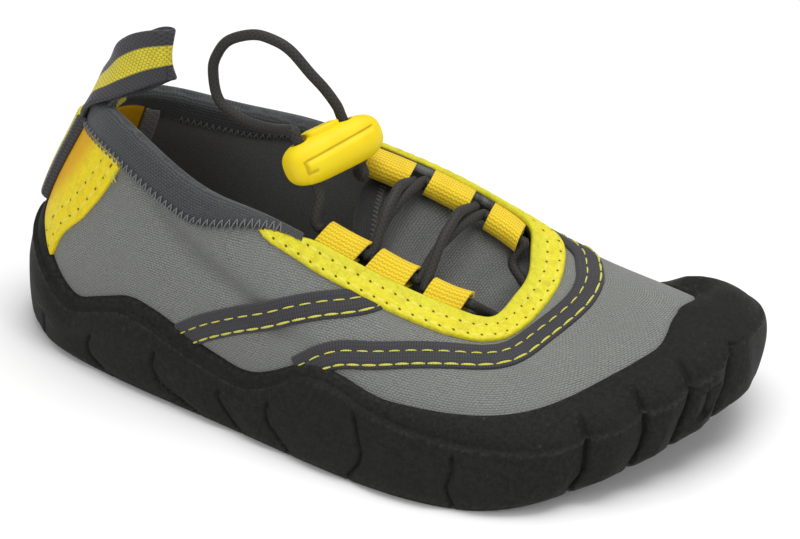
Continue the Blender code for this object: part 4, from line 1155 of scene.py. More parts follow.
@dataclass
class CordLock:
    """Oblong moulded cord lock with a panel groove, two cord holes and a push button."""

    middle: Triple = (90.0, 0.0, 60.9)
    axis: Triple = (0.42, 0.91, 0.07)
    up: Triple = (-0.45, 0.20, 0.87)
    size: Triple = (27.0, 10.0, 11.0)
    rounding: Triple = (0.48, 0.7, 0.8)
    # Groove along the front: its ends, then its height, slope, half width and depth
    groove: Pair = (-10.8, 10.2)
    groove_line: tuple[float, float, float, float] = (1.3, 0.05, 0.24, 0.45)
    # Cord holes: their places, then their radius, soft border and depth
    holes: Pair = (-8.0, 5.6)
    hole: Triple = (1.4, 0.9, 0.8)
    button: Triple = (9.6, 5.0, 0.7)
    button_middle: float = -1.2

    def axes(self) -> tuple[Array, Array, Array]:
        """Long axis, cord direction and face direction.

        Returns:
            The three unit vectors.
        """
        axis = unit(np.array(self.axis))
        up = np.array(self.up)
        up = unit(up - axis * (up @ axis))
        return axis, up, np.cross(axis, up)

    def shell(self) -> Object:
        """Superellipsoid: powers of sine and cosine; the groove and the cord holes are pressed in.

        Returns:
            The lock's body.
        """
        axis, up, face = self.axes()
        length, depth, height = self.size
        end, size, side = self.rounding
        stops = np.linspace(-np.pi / 2, np.pi / 2, 181)[:, None]
        turn = np.linspace(0, TURN, 193)[None, :]
        scale = np.cos(stops) ** size
        along = power(np.sin(stops), end) * length / 2 + 0 * turn
        rise = scale * power(np.sin(turn), side) * height / 2
        out = scale * power(np.cos(turn), side) * depth / 2
        front = smooth((out + 0.2) / 1.5)
        start, stop = self.groove
        inside = smooth((along - start) / 0.6) * smooth((stop - along) / 0.6)
        level, slope, half, deep = self.groove_line
        line = level + slope * along
        groove = np.exp(-((rise - line) / half) ** 2) * inside
        hook_side = np.exp(-((along - start) / 0.4) ** 2)
        hook_side = hook_side * smooth((rise + 2.4) / 0.6) * smooth((line + 0.3 - rise) / 0.5)
        hook_foot = np.exp(-((rise + 2.2) / 0.4) ** 2)
        hook_foot = hook_foot * smooth((along - start + 0.3) / 0.4) * smooth((start + 2.7 - along) / 0.8)
        cut = np.clip(groove + hook_side + hook_foot, 0, 1) * front
        bar = 0.35 * smooth((line - 0.5 - rise) / 0.8) * front * inside
        top = smooth((rise - 2.0) / 1.2)
        sink = np.zeros_like(along)
        radius, border, hollow = self.hole
        for hole in self.holes:
            far = np.hypot(along - hole, out)
            sink = sink + (1 - smooth((far - radius) / border)) * top
        push = bar - deep * cut
        points = (np.array(self.middle) + axis * along[..., None]
                  + up * (rise - hollow * sink)[..., None] + face * (out + push * np.sign(out))[..., None])
        uv = np.stack([along, rise], -1)
        # Painted shade in the groove and the cord holes.
        shade = np.clip(0.4 * cut + 0.9 * sink, 0, 1)
        piece = Piece("cord_lock_body", "plastic", ("cord_lock_shell",))
        return piece.add(Grid(points, uv, shade)).make(PLASTIC.material())

    def push_button(self) -> Object:
        """Rounded block: a squared circle that narrows over a soft crown, with finger ribs.

        Returns:
            The button.
        """
        axis, up, face = self.axes()
        length, depth, tall = self.button
        crown = 0.75 + 0.25 * np.sin(np.linspace(0.1, 1, 14) * np.pi / 2)
        levels = np.concatenate([np.linspace(0, 0.75, 8), crown])
        spread = np.sqrt(1 - np.clip((levels - 0.75) / 0.25, 0, 1) ** 2) * 0.28 + 0.72
        spread[-1] = 0.001
        turn = np.linspace(0, TURN, 97)
        outline = (axis * power(np.cos(turn), 0.5)[:, None] * length / 2
                   + face * power(np.sin(turn), 0.5)[:, None] * depth / 2)
        base = np.array(self.middle) + axis * self.button_middle + up * (self.size[2] / 2 - 0.5)
        ribs = 0.04 * np.cos(outline @ axis / 0.9 * TURN) * smooth((levels[:, None] - 0.8) / 0.2)
        high = (levels * (tall + 0.8))[:, None] + ribs
        points = base + up * high[..., None] + outline * spread[:, None, None]
        uv = paired(levels[:, None] * tall, turn)
        foot = disc(points[0], base, np.zeros((len(turn), 2)))
        piece = Piece("cord_lock_push_button", "plastic", ("cord_lock_button",))
        return piece.add(Grid(points, uv)).add(foot).make(PLASTIC.material())

    def build(self) -> list[Object]:
        """The lock's two pieces."""
        return [self.shell(), self.push_button()]


@dataclass
class LaceLoops:
    """Six webbing loops along the throat and the lace that runs through them."""

    # Rear and front stations, reach over the throat, tail under the facing and straight lead of the lace
    rows: dict[str, tuple[float, ...]] = field(default_factory=lambda: {
        "lace_loop_lateral_1": (4.45, 4.84, 5.6, 1.7, 1.0),
        "lace_loop_lateral_2": (4.97, 5.48, 5.6, 1.5, 1.0),
        "lace_loop_lateral_3": (5.80, 6.52, 4.2, 1.2, 1.2),
        "lace_loop_medial_1": (15.92, 15.32, 5.6, 1.4, 1.2),
        "lace_loop_medial_2": (15.04, 14.32, 4.4, 1.0, 1.2),
        "lace_loop_medial_3": (13.92, 13.04, 5.0, 1.2, 1.4),
    })
    bore: float = 2.25
    tape: float = 0.8
    rise: float = 0.5
    droop: float = 0.35
    radius: float = 1.27
    strand_lift: float = 3.2
    over_lift: float = 2.4
    vamp_run: tuple[Triple, ...] = (
        (7.9, 1.06, 0.6), (8.6, 0.985, 2.1), (9.3, 0.955, 2.3), (10.0, 0.985, 2.0), (10.8, 1.06, 0.4))

    def axes(self, station: Array) -> tuple[Array, Array, Array]:
        """Throat edge, the way across the throat and the way up from it.

        Args:
            station: Places along the throat.

        Returns:
            Points and two sets of unit vectors.
        """
        edge = LAST.at(station, 1.0)
        across = unit(unit(LAST.at(LAST.across(station), 1.0) - edge) - self.droop * UP)
        along = LAST.slopes(station, np.ones_like(station))[0]
        along = unit(along - across * (along * across).sum(-1, keepdims=True))
        up = np.cross(across, along)
        return edge, across, up * np.sign(up[..., 2:])

    def loop(self, name: str, finish: Material) -> None:
        """Tape doubled round the cord: a teardrop profile carried along the throat edge.

        Args:
            name: Name of the loop's CAD node.
            finish: Webbing material.
        """
        rear, front, reach, tail, _ = self.rows[name]
        columns = 25
        stations = np.linspace(rear, front, columns)
        edge, across, up = (vectors[:, None] for vectors in self.axes(stations))
        turn = np.linspace(0, TURN, 73)[:-1]
        pull = smooth((-np.cos(turn) - 0.1) / 0.9)
        sag = 0.25 * np.sin(np.linspace(0, np.pi, columns))[:, None]
        layers = []
        for radius in (self.bore + self.tape, self.bore):
            thick = radius - self.bore
            out = reach + radius * np.cos(turn)
            high = self.rise + radius * np.sin(turn)
            tail_out = tail - 0.8 + (reach - tail) * (1 + np.cos(turn)) * 0.5
            tail_high = -0.5 + 0.42 * radius * np.sin(turn) + 0.3 * thick
            out = out * (1 - pull) + tail_out * pull
            high = high * (1 - pull) + tail_high * pull
            layers.append(edge + across * out[:, None] + up * (high - sag * (1 - pull))[..., None])
        outer, inner = layers
        outer_run = run_length(outer[columns // 2])
        width = run_length(outer[:, 0])
        uv = paired(outer_run[None, :], width[:, None])
        piece = Piece(name + "_webbing", "webbing", (name,))
        piece.add(Grid(outer, uv), ring=True).add(Grid(inner, uv), ring=True)
        for k in (0, -1):
            piece.add(strip(outer[k], inner[k], uv[k]), ring=True)
        piece.make(finish)

    def through(self, name: str, backwards: bool = False) -> list[Array]:
        """The lace's points through a loop, led in and out straight.

        Args:
            name: Name of the loop's CAD node.
            backwards: Whether the lace runs back from the toe.

        Returns:
            The points in the lace's order.
        """
        rear, front, reach, _, lead = self.rows[name]
        edge, across, up = self.axes(np.linspace(rear, front, 3))
        points = edge + across * reach + up * self.rise
        straight = unit(points[2] - points[0]) * lead
        points = np.concatenate([[points[0] - straight], points, [points[2] + straight]])
        return list(points[::-1] if backwards else points)

    def strand(self, first: Array, second: Array, lift: float) -> list[Array]:
        """A crossing strand that arches over the tongue as the root of a sine."""
        shares = np.array([0.3, 0.5, 0.7])[:, None]
        return list(first * (1 - shares) + second * shares + lift * np.sqrt(np.sin(np.pi * shares)) * UP)

    def lace(self, finish: Material) -> None:
        """The lace from the top lateral loop through all six and under the vamp to the top medial one.

        Args:
            finish: Cord material.
        """
        station, rise, down = np.array(self.vamp_run).T
        front = list(LAST.over(station, rise, -(LAST.wall + down)))
        route = self.through("lace_loop_lateral_1")
        lifts = (self.strand_lift, self.strand_lift + self.over_lift)
        for name, lift in zip(("lace_loop_medial_2", "lace_loop_lateral_3"), lifts):
            points = self.through(name)
            route += self.strand(route[-1], points[0], lift) + points
        route += front + self.through("lace_loop_medial_3", backwards=True)
        for name, lift in zip(("lace_loop_lateral_2", "lace_loop_medial_1"), lifts):
            points = self.through(name, backwards=True)
            route += self.strand(route[-1], points[0], lift) + points
        path = even_path(np.array(route[1:-1]), 640)
        Piece("crossing_lace", "cord", ("lace",)).tube(path, self.radius, 16).make(finish)

    def build(self) -> None:
        """The six loops and the lace."""
        finish = WEBBING.material()
        for name in self.rows:
            self.loop(name, finish)
        self.lace(CORD.material())


@dataclass
class Outsole:
    """Moulded rubber cup: creased side with lobes and toe pods, rounded toe cap, rim and tread."""

    rim_wall: float = 1.8
    rim_edge: float = 1.3
    cap_wall: float = 3.0
    lip_step: float = 1.3
    chamfer: float = 1.2
    swell: Pair = (0.7, 1.6)
    # Smooth big toe: where it starts and ends, and its share of the swell
    big_toe: Triple = (10.9, 14.0, 0.5)
    # Thicker rubber round the big toe: middle station, half length and thickness
    bumper_bell: Triple = (12.6, 0.8, 5.6)
    side_columns: int = 540
    # Length over which a lobe swells, share of the side's handles and bulge of the side
    lobe_reach: float = 4.2
    handle: float = 0.35
    bulge: float = 0.7
    # Sipes of the tread: pitch, depth and length of their waves
    sipes: Triple = (3.6, 0.35, 9.0)
    groove_depth: float = 1.2
    # Creases of the lateral side: half width, depth and a line of (level, station) pairs. Levels go
    # from 0 at the foot to 1 at the lip and on to 2 at the rim.
    creases: tuple[tuple[float, float, tuple[Pair, ...]], ...] = (
        (0.5, 1.0, ((0.0, 1.37), (0.23, 1.39), (0.58, 1.45))),
        (0.5, 1.2, ((0.0, 2.67), (0.03, 2.53), (0.20, 2.34), (0.43, 2.30), (0.72, 2.39))),
        (0.5, 1.2, ((0.0, 3.68), (0.17, 3.45), (0.28, 3.23), (0.48, 3.14), (0.85, 3.18))),
        (0.5, 1.1, ((0.0, 4.12), (0.32, 3.98), (0.58, 3.87), (0.90, 3.87))),
        (0.5, 1.2, ((0.0, 4.61), (0.20, 4.48), (0.38, 4.39), (0.60, 4.35), (0.86, 4.39))),
        (0.55, 1.4, ((0.0, 5.21), (0.08, 5.24), (0.28, 5.33), (0.43, 5.34), (0.70, 5.25), (1.0, 5.18))),
        (0.55, 1.3, ((0.0, 6.40), (0.30, 6.31), (0.57, 6.37), (0.98, 6.38))),
        (0.9, 1.9, ((0.0, 7.95), (0.12, 8.02), (0.35, 8.18), (0.70, 8.24), (1.02, 8.28), (1.72, 8.29))),
        (1.0, 2.1, ((0.0, 8.86), (0.12, 8.91), (0.38, 9.04), (0.70, 9.12), (1.17, 9.15), (1.75, 9.17))),
        (1.0, 2.1, ((0.0, 9.50), (0.25, 9.58), (0.52, 9.67), (0.78, 9.79), (1.17, 9.89), (1.78, 9.96))),
        (0.6, 0.9, ((0.3, 10.02), (0.58, 10.10), (0.95, 10.16))),
        (1.2, 1.8, ((0.0, 10.25), (0.32, 10.34), (0.63, 10.54), (0.87, 10.62), (1.03, 10.72),
                    (1.35, 10.80))),
    )

    def columns(self) -> Array:
        """Stations at even distances along the lateral foot line, then their medial partners back.

        Returns:
            The stations, in order round the sole.
        """
        fine = np.linspace(0, LAST.toe_station, 2000)
        run = run_length(LAST.rib(fine)[:, :2])
        lateral = np.interp(np.linspace(0, run[-1], self.side_columns), run, fine)
        medial = LAST.partner(lateral[1:-1])[::-1]
        return np.concatenate([lateral, medial])

    def bumper(self, station: Array) -> Array:
        """Extra thickness round the big toe, a bell over the stations."""
        middle, half, thickness = self.bumper_bell
        return thickness * np.exp(-((np.mod(station, LAST.count) - middle) / half) ** 2)

    def relief(self, station: Array, level: float) -> tuple[Array, Array]:
        """Crease depth and lobe swell at a level of the side and cap.

        A crease is a wide bell and a narrow one across its drawn line; the lobes swell with the
        distance from the nearest line. Medial lines lie across from the lateral ones.

        Args:
            station: Stations of the columns.
            level: Height up the side, 1 at the lip and 2 at the rim.

        Returns:
            Crease depth in millimetres and lobe swell from 0 to 1.
        """
        speed = lengths(LAST.slopes(station, np.full_like(station, 0.1))[0])
        depth = np.zeros_like(station)
        nearest = np.full_like(station, 50.0)
        for half, deep, line in self.creases:
            levels, places = np.array(line).T
            lateral = float(np.interp(level, levels, places))
            medial = float(LAST.partner(np.array(lateral)))
            ends = smooth((levels[-1] - level) / (0.25 * half + 0.08))
            ends = ends * smooth((level - levels[0] + 0.1) / 0.1)
            for place, share in ((lateral, ends), (medial, ends * (medial > self.big_toe[1]))):
                off = np.abs(station - place) * speed
                bell = 0.5 * np.exp(-(off / half) ** 2) + 0.5 * np.exp(-(off / (0.45 * half)) ** 2)
                depth = np.maximum(depth, deep * share * bell)
                nearest = np.minimum(nearest, off + 9.0 * (1 - share))
        ends = np.minimum(np.abs(station), np.abs(station - LAST.count)) * speed
        nearest = np.minimum(nearest, 6.0 + ends)
        start, stop, share = self.big_toe
        toe = smooth((station - start) / 0.4) * smooth((stop - station) / 0.4)
        return depth, (1 - np.exp(-(nearest / self.lobe_reach) ** 2)) * (1 - (1 - share) * toe)

    def rings(self) -> tuple[Array, Array]:
        """Rings of points round the sole: up its outside, over the cap and rim and down into the cup.

        The side is a cubic from the foot to the lip. The cap keeps a wall over the upper that thins
        evenly to the rim, plus the bumper times the root of one minus the level squared.

        Returns:
            The rings and how pale each point is: rubbed wear low down, painted highlight at the lip.
        """
        station = self.columns()
        toe = LAST.toe_share(station)
        rim, lip = LAST.rim(station), LAST.lip(station)
        per_mm = 1 / LAST.rib_length(station)
        bumper = self.bumper(station)
        wall = self.rim_wall + (self.cap_wall - self.rim_wall) * toe
        step = self.lip_step * (1 - 0.5 * toe)
        most = self.swell[0] + (self.swell[1] - self.swell[0]) * toe
        zero = np.zeros_like(station)
        rings, wear_and_highlight = [], []
        depth, lobes = self.relief(station, 0.0)
        for share in (0.0, 0.3, 0.7, 1.0):
            inset = self.chamfer * (1 - np.sin(share * np.pi / 2)) + (0.2 + 0.4 * toe) * depth
            inset = inset - lobes * most * toe / 2 * share
            rings.append(LAST.bottom_edge(station, inset, self.chamfer * (1 - np.cos(share * np.pi / 2))))
            wear_and_highlight.append(zero + 0.7)
        out = upright(LAST.plan_normal(station))
        foot = LAST.bottom_edge(station, lift=self.chamfer)
        top = LAST.over(station, lip, wall + step + bumper)
        handle = self.handle * (top - foot)[..., 2:] * UP
        bulge = out * (self.bulge + bumper / 2)[:, None]
        for level in np.linspace(0.03, 0.985, 32):
            depth, lobes = self.relief(station, level)
            side = bezier(level, foot, foot + handle + bulge, top - handle + bulge, top)
            fade = np.maximum(smooth((1.0 - level) / 0.35), toe) * smooth((level + 0.12) / 0.2)
            rings.append(side + out * (fade * lobes * most - depth)[:, None])
            # Paler near the foot for rubbed wear, and a painted highlight along the lip line.
            at_lip = np.exp(-((level - 1.0) / 0.03) ** 2)
            wear_and_highlight.append(0.35 * smooth((0.2 - level) / 0.2) + 0.6 * at_lip + zero)
        low_rim = rim - self.rim_edge * per_mm
        ledge = 1.0 * per_mm / (low_rim - lip)
        for share in (0.0, 0.02, 0.045, 0.08, 0.13, 0.2, 0.29, 0.4, 0.52, 0.66, 0.82, 1.0):
            depth, lobes = self.relief(station, 1.0 + share)
            high = wall + (self.rim_wall - 0.3 - wall) * share + bumper * np.sqrt(1 - share**2)
            high = high + step * (1 - smooth(share / ledge)) + 0.3 * np.sin(np.pi * share)
            fade = toe * smooth((0.75 - share) / 0.65)
            rings.append(LAST.over(station, lip + (low_rim - lip) * share, high)
                         + out * (fade * lobes * most - 0.7 * depth)[:, None])
            # Painted highlight along the lip where the ledge starts.
            wear_and_highlight.append(0.6 * np.exp(-(share / 0.03) ** 2) + zero)
        for angle in np.radians((20, 40, 60, 76, 90)):
            high = (self.rim_wall - 0.3) * np.cos(angle) - 0.15 * np.sin(angle)
            rings.append(LAST.over(station, low_rim + self.rim_edge * np.sin(angle) * per_mm, high + zero))
            # A little paler over the rim's rounded top.
            wear_and_highlight.append(zero + 0.25)
        rings.append(LAST.over(station, rim - 1.5 * per_mm, zero - 0.15))
        wear_and_highlight.append(zero)
        clear = LAST.gap + 0.35 * (0.8 + toe)
        for level in (0.75, 0.5, 0.25):
            rings.append(LAST.over(station, rim * level, clear))
            wear_and_highlight.append(zero)
        floor = LAST.rib(station)[:, :2] + LAST.plan_normal(station) * clear[:, None]
        rings.append(upright(floor, LAST.sole_floor + LAST.toe_spring(floor[:, 0])))
        wear_and_highlight.append(zero)
        return np.array(rings), np.array(wear_and_highlight)

    def across(self, ring: Array, tread: bool) -> Grid:
        """Sheet that fills a ring with straight lines across it.

        The tread's flex grooves carry the creases on across the sole, between finer sipes; the footbed
        follows the toe spring.

        Args:
            ring: The closed ring, lateral side first.
            tread: Whether this is the tread underneath.

        Returns:
            The sheet.
        """
        half = self.side_columns - 1
        lateral = ring[: half + 1]
        medial = np.concatenate([ring[:1], ring[:half - 1:-1]])
        shares = np.linspace(0, 1, 27)[None, :, None]
        points = lateral[:, None] * (1 - shares) + medial[:, None] * shares
        x = points[..., 0]
        width = lengths(lateral - medial)[:, None]
        inside = np.minimum(shares[..., 0], 1 - shares[..., 0]) * width
        if tread:
            station = self.columns()[: half + 1]
            groove = self.relief(station, 0.0)[0][:, None] / 1.5
            pitch, depth, length = self.sipes
            wave = np.sin(x / pitch * TURN + 1.2 * np.sin(points[..., 1] / length * TURN))
            sipe = depth * smooth((wave - 0.35) / 0.4) * smooth((inside - 5) / 3)
            cuts = np.maximum(self.groove_depth * np.clip(groove, 0, 1), sipe)
            high = LAST.ground(x, 2 * shares[..., 0] - 1) + cuts
        else:
            high = LAST.sole_floor + LAST.toe_spring(x)
        ease = smooth(inside / 1.5)
        points[..., 2] = points[..., 2] * (1 - ease) + high * ease
        return Grid(points, points[..., :2], np.full(x.shape, 0.6 if tread else 0.0))

    def build(self) -> None:
        """Side, tread and footbed as one closed piece."""
        rings, wear_and_highlight = self.rings()
        piece = Piece("cup_sole", "rubber", ("outsole",))
        piece.add(Grid(rings, rings[..., ::2], wear_and_highlight), ring=True)
        piece.add(self.across(rings[0], True)).add(self.across(rings[-1], False))
        piece.make(RUBBER.material(), attribute="wear_and_highlight")


@dataclass
class Upper:
    """Neoprene shell with its lining: open at collar and throat."""

    stations: int = 560
    rises: int = 90
    lining_rises: int = 31
    lining_height: float = 60.0
    fold_shade: float = 0.4
    # Soft troughs (negative) and swells: station, rise, half length and half width in stations and
    # rises, slope of the trough and depth
    folds: tuple[tuple[float, ...], ...] = (
        (3.55, 0.68, 0.36, 0.15, -5.0, -1.7), (2.75, 0.52, 0.45, 0.22, 0.0, 0.5),
        (4.15, 0.80, 0.3, 0.10, 0.0, 0.4), (2.15, 0.52, 0.35, 0.20, 0.30, 0.4),
        (4.35, 0.52, 0.20, 0.10, 0.3, -0.3),
        (17.6, 0.62, 0.30, 0.26, -0.4, -0.8), (18.4, 0.55, 0.4, 0.2, 0.2, 0.4),
        (7.5, 0.66, 0.5, 0.1, 0.1, -0.3), (12.6, 0.7, 0.5, 0.1, 0.1, -0.3),
    )

    def fold_height(self, station: Array, rise: Array) -> Array:
        """Sum of leaning bells, one for each fold.

        Args:
            station: Places round the foot.
            rise: Places up the rib.

        Returns:
            Heights in millimetres.
        """
        height = np.zeros(np.broadcast(station, rise).shape)
        for middle, level, half, tall, lean, deep in self.folds:
            up = (rise - level) / tall
            off = (station - middle - lean * (rise - level)) / half
            height = height + deep * np.exp(-off**2 - up**2)
        return height

    def build(self) -> None:
        """Outer face with its folds, and the lining a wall's thickness inside it."""
        station = np.linspace(0, LAST.count, self.stations + 1)
        rise = np.linspace(0.0, 1.0, self.rises)[:, None]
        fold = self.fold_height(station, rise) * smooth((1 - rise) / 0.12)
        outer = LAST.over(station, rise, fold)
        along = run_length(LAST.at(station, 0.6))
        steps = lengths(np.diff(outer, axis=0))
        uv = paired(along, np.concatenate([np.zeros((1, len(station))), np.cumsum(steps, 0)]))
        shade = np.clip(-fold * self.fold_shade, 0, 1)
        inner_rise = np.linspace(0.0, 1.0, self.lining_rises)[:, None]
        inner = LAST.over(station, inner_rise, -LAST.wall)
        piece = Piece("neoprene_upper", "neoprene", ("upper",))
        piece.add(Grid(outer, uv, shade))
        piece.add(Grid(inner, paired(along, inner_rise * self.lining_height)), finish=1)
        for k in (0, -1):
            piece.add(strip(outer[k], inner[k], uv[k]), finish=1)
        piece.make(NEOPRENE.material(), LINING.material())


@dataclass
class Insole:
    """Flat sock that lies in the cup."""

    thickness: float = 3.0
    ends: Pair = (0.5, 10.8)
    lines: int = 120
    line_gap: float = 1.3
    edge_radius: float = 1.2

    def build(self) -> None:
        """Lines across from the lateral foot line to the medial one, with a rounded top edge."""
        stations = np.linspace(*self.ends, self.lines)
        inset = LAST.wall + 2 * LAST.gap
        lateral, medial = (LAST.rib(side)[:, :2] - LAST.plan_normal(side) * inset
                           for side in (stations, LAST.partner(stations)))
        shares = edge_shares(24, 0.06)[None, :, None]
        plan = lateral[:, None] * (1 - shares) + medial[:, None] * shares
        base = LAST.sole_floor + LAST.gap + LAST.toe_spring(plan[..., 0])
        width = lengths(lateral - medial)[:, None]
        inside = np.minimum(shares[..., 0], 1 - shares[..., 0]) * width
        number = np.arange(self.lines)
        ends = np.minimum(number, number[::-1])[:, None] * self.line_gap
        top = base + self.thickness * round_edge(np.minimum(inside, ends), self.edge_radius)
        piece = Piece("sock_insole", "lining", ("insole",))
        piece.add(Grid(upright(plan, top), plan)).add(Grid(upright(plan, base), plan))
        piece.make(LINING.material())


def zigzag(corners: Array, out: Array, base: float, bow: float) -> Array:
    """Straight legs between corners, each lifted off the cloth by a base and half a sine.

    Args:
        corners: Points of the zigzag.
        out: The way off the cloth at each corner.
        base: Height at the ends of a leg.
        bow: Extra height at its middle.

    Returns:
        Rows of points, one row for each leg.
    """
    t = np.linspace(0, 1, 7)[None, :, None]
    lift = (base + bow * np.sin(np.pi * t)) * out[:-1, None]
    return corners[:-1, None] * (1 - t) + corners[1:, None] * t + lift


@dataclass
class Tongue:
    """Stretch gusset under the lace with a bound and zigzag-sewn rear edge."""

    thickness: float = 2.0
    tuck: float = 0.82
    reach: float = 0.36
    level: float = 0.55
    tape: float = 1.2
    fold: float = 4.4
    lift: float = 2.2
    stitch_count: int = 44
    thread: float = 0.2
    rear_shade: float = 0.76
    # Lateral and medial stations and depth of the lines across the tongue, from the vamp back
    lines: tuple[Triple, ...] = LAST.throat[:6] + (
        (5.5, 14.55, 3.5), (5.3, 15.05, 3.2), (5.12, 15.6, 3.4), (5.0, 16.1, 3.6))

    def face(self, lines: Array, shares: Array, drop: float) -> Array:
        """Arch from inside one throat edge to inside the other: a cubic across each line.

        Args:
            lines: Rows of lateral station, medial station and depth.
            shares: Places across, from 0 to 1.
            drop: How far under the top face.

        Returns:
            Points, one row for each line.
        """
        lateral, medial, depth = np.asarray(lines).T
        below = LAST.wall + np.maximum(depth - self.lift, 0.9) + drop
        starts, leaves = [], []
        for station, other in ((lateral, medial), (medial, lateral)):
            start = LAST.over(station, np.full_like(station, self.tuck), -below)
            under_edge = LAST.over(station, np.ones_like(station), -1.1 * below)
            across = unit(LAST.at(other, 1.0) - LAST.at(station, 1.0))
            starts.append(start)
            leaves.append(unit((1 - self.level) * unit(under_edge - start) + self.level * across))
        start, end = starts
        span = self.reach * np.linalg.norm(end - start, axis=-1, keepdims=True)
        corners = (start, start + leaves[0] * span, end + leaves[1] * span, end)
        return bezier(np.asarray(shares)[None, :, None], *(corner[:, None] for corner in corners))

    def gusset(self) -> None:
        """The tongue's sheet, closed with its underside, with faint pull lines from the lace."""
        rows, columns = 150, 70
        lines = smooth_path(self.lines, rows)
        shares = np.linspace(0, 1, columns)
        outer, inner = self.face(lines, shares, 0.0), self.face(lines, shares, self.thickness)
        run = run_length(outer[:, columns // 2])[:, None]
        wide = lengths(np.diff(outer, axis=1)).mean(0)
        uv = paired(np.concatenate([[0], np.cumsum(wide)]), run)
        puff = 0.25 * np.sin(run / 9.0 * TURN + 3.0 * shares) * np.sin(np.pi * shares)
        lift = unit(outer - inner)
        rear = smooth((np.linspace(0, 1, rows)[:, None] - self.rear_shade) / 0.2)
        shade = np.maximum(0.8 * (1 - smooth(np.minimum(shares, 1 - shares) / 0.2)), rear)
        piece = Piece("gusset_tongue", "neoprene", ("tongue",))
        outer = outer + lift * puff[..., None]
        piece.add(Grid(outer, uv, shade)).add(Grid(inner, uv))
        for k in (0, -1):
            piece.add(strip(outer[k], inner[k], uv[k])).add(strip(outer[:, k], inner[:, k], uv[:, k]))
        piece.make(TONGUE_KNIT.material())

    def edge_axes(self, shares: Array) -> tuple[Array, Array, Array]:
        """Rear edge of the tongue, the way forward on it and the way up.

        Args:
            shares: Places across, from 0 to 1.

        Returns:
            Points and two sets of unit vectors.
        """
        rows = np.array(self.lines)
        edge = self.face(rows[-1:], shares, 0.0)[0]
        ahead = self.face(rows[-2:-1], shares, 0.0)[0]
        under = self.face(rows[-1:], shares, self.thickness)[0]
        return edge, unit(ahead - edge), unit(edge - under)

    def binding(self) -> None:
        """Tape folded over the rear edge: a rounded hairpin profile carried across the tongue."""
        shares = np.linspace(0.1, 0.9, 90)
        edge, forward, up = (v[:, None] for v in self.edge_axes(shares))
        over, below = 0.55 + self.tape, -self.thickness - 0.6 - self.tape
        bend = np.linspace(np.pi / 2, 3 * np.pi / 2, 15)
        middle, half = (over + below) / 2, (over - below) / 2
        fold = self.fold
        along = np.concatenate([[fold, fold + 0.25], np.linspace(fold - 0.2, 0.6, 12),
                                0.4 + 1.9 * np.cos(bend), np.linspace(0.6, fold, 6), [fold]])
        high = np.concatenate([[0.1, 0.6], np.full(12, over), middle + half * np.sin(bend),
                               np.full(6, below), [-1.9]])
        points = edge + forward * along[:, None] + up * high[:, None]
        run = np.concatenate([[0], np.cumsum(np.hypot(np.diff(along), np.diff(high)))])
        uv = paired(run_length(edge[:, 0])[:, None], run)
        piece = Piece("tongue_edge_binding", "binding", ("tongue_binding",))
        piece.carried(Grid(points, uv)).make(SHADED_TONGUE_TAPE.material())

    def stitches(self) -> None:
        """Zigzag thread along the binding's front edge: straight legs between two lines."""
        shares = np.linspace(0.16, 0.84, self.stitch_count + 1)
        edge, forward, up = self.edge_axes(shares)
        odd = np.arange(self.stitch_count + 1) % 2
        reach = np.where(odd, self.fold - 2.4, self.fold + 0.8)
        high = np.where(odd, 0.7 + self.tape, 0.55)
        legs = zigzag(edge + forward * reach[:, None] + up * high[:, None], up, 0.0, 0.25)
        piece = Piece("tongue_zigzag", "binding").tubes(legs, self.thread)
        piece.make(DARK_THREAD.material(), closed=False)

    def build(self) -> None:
        """The gusset, its binding and the binding's stitches."""
        self.gusset()
        self.binding()
        self.stitches()


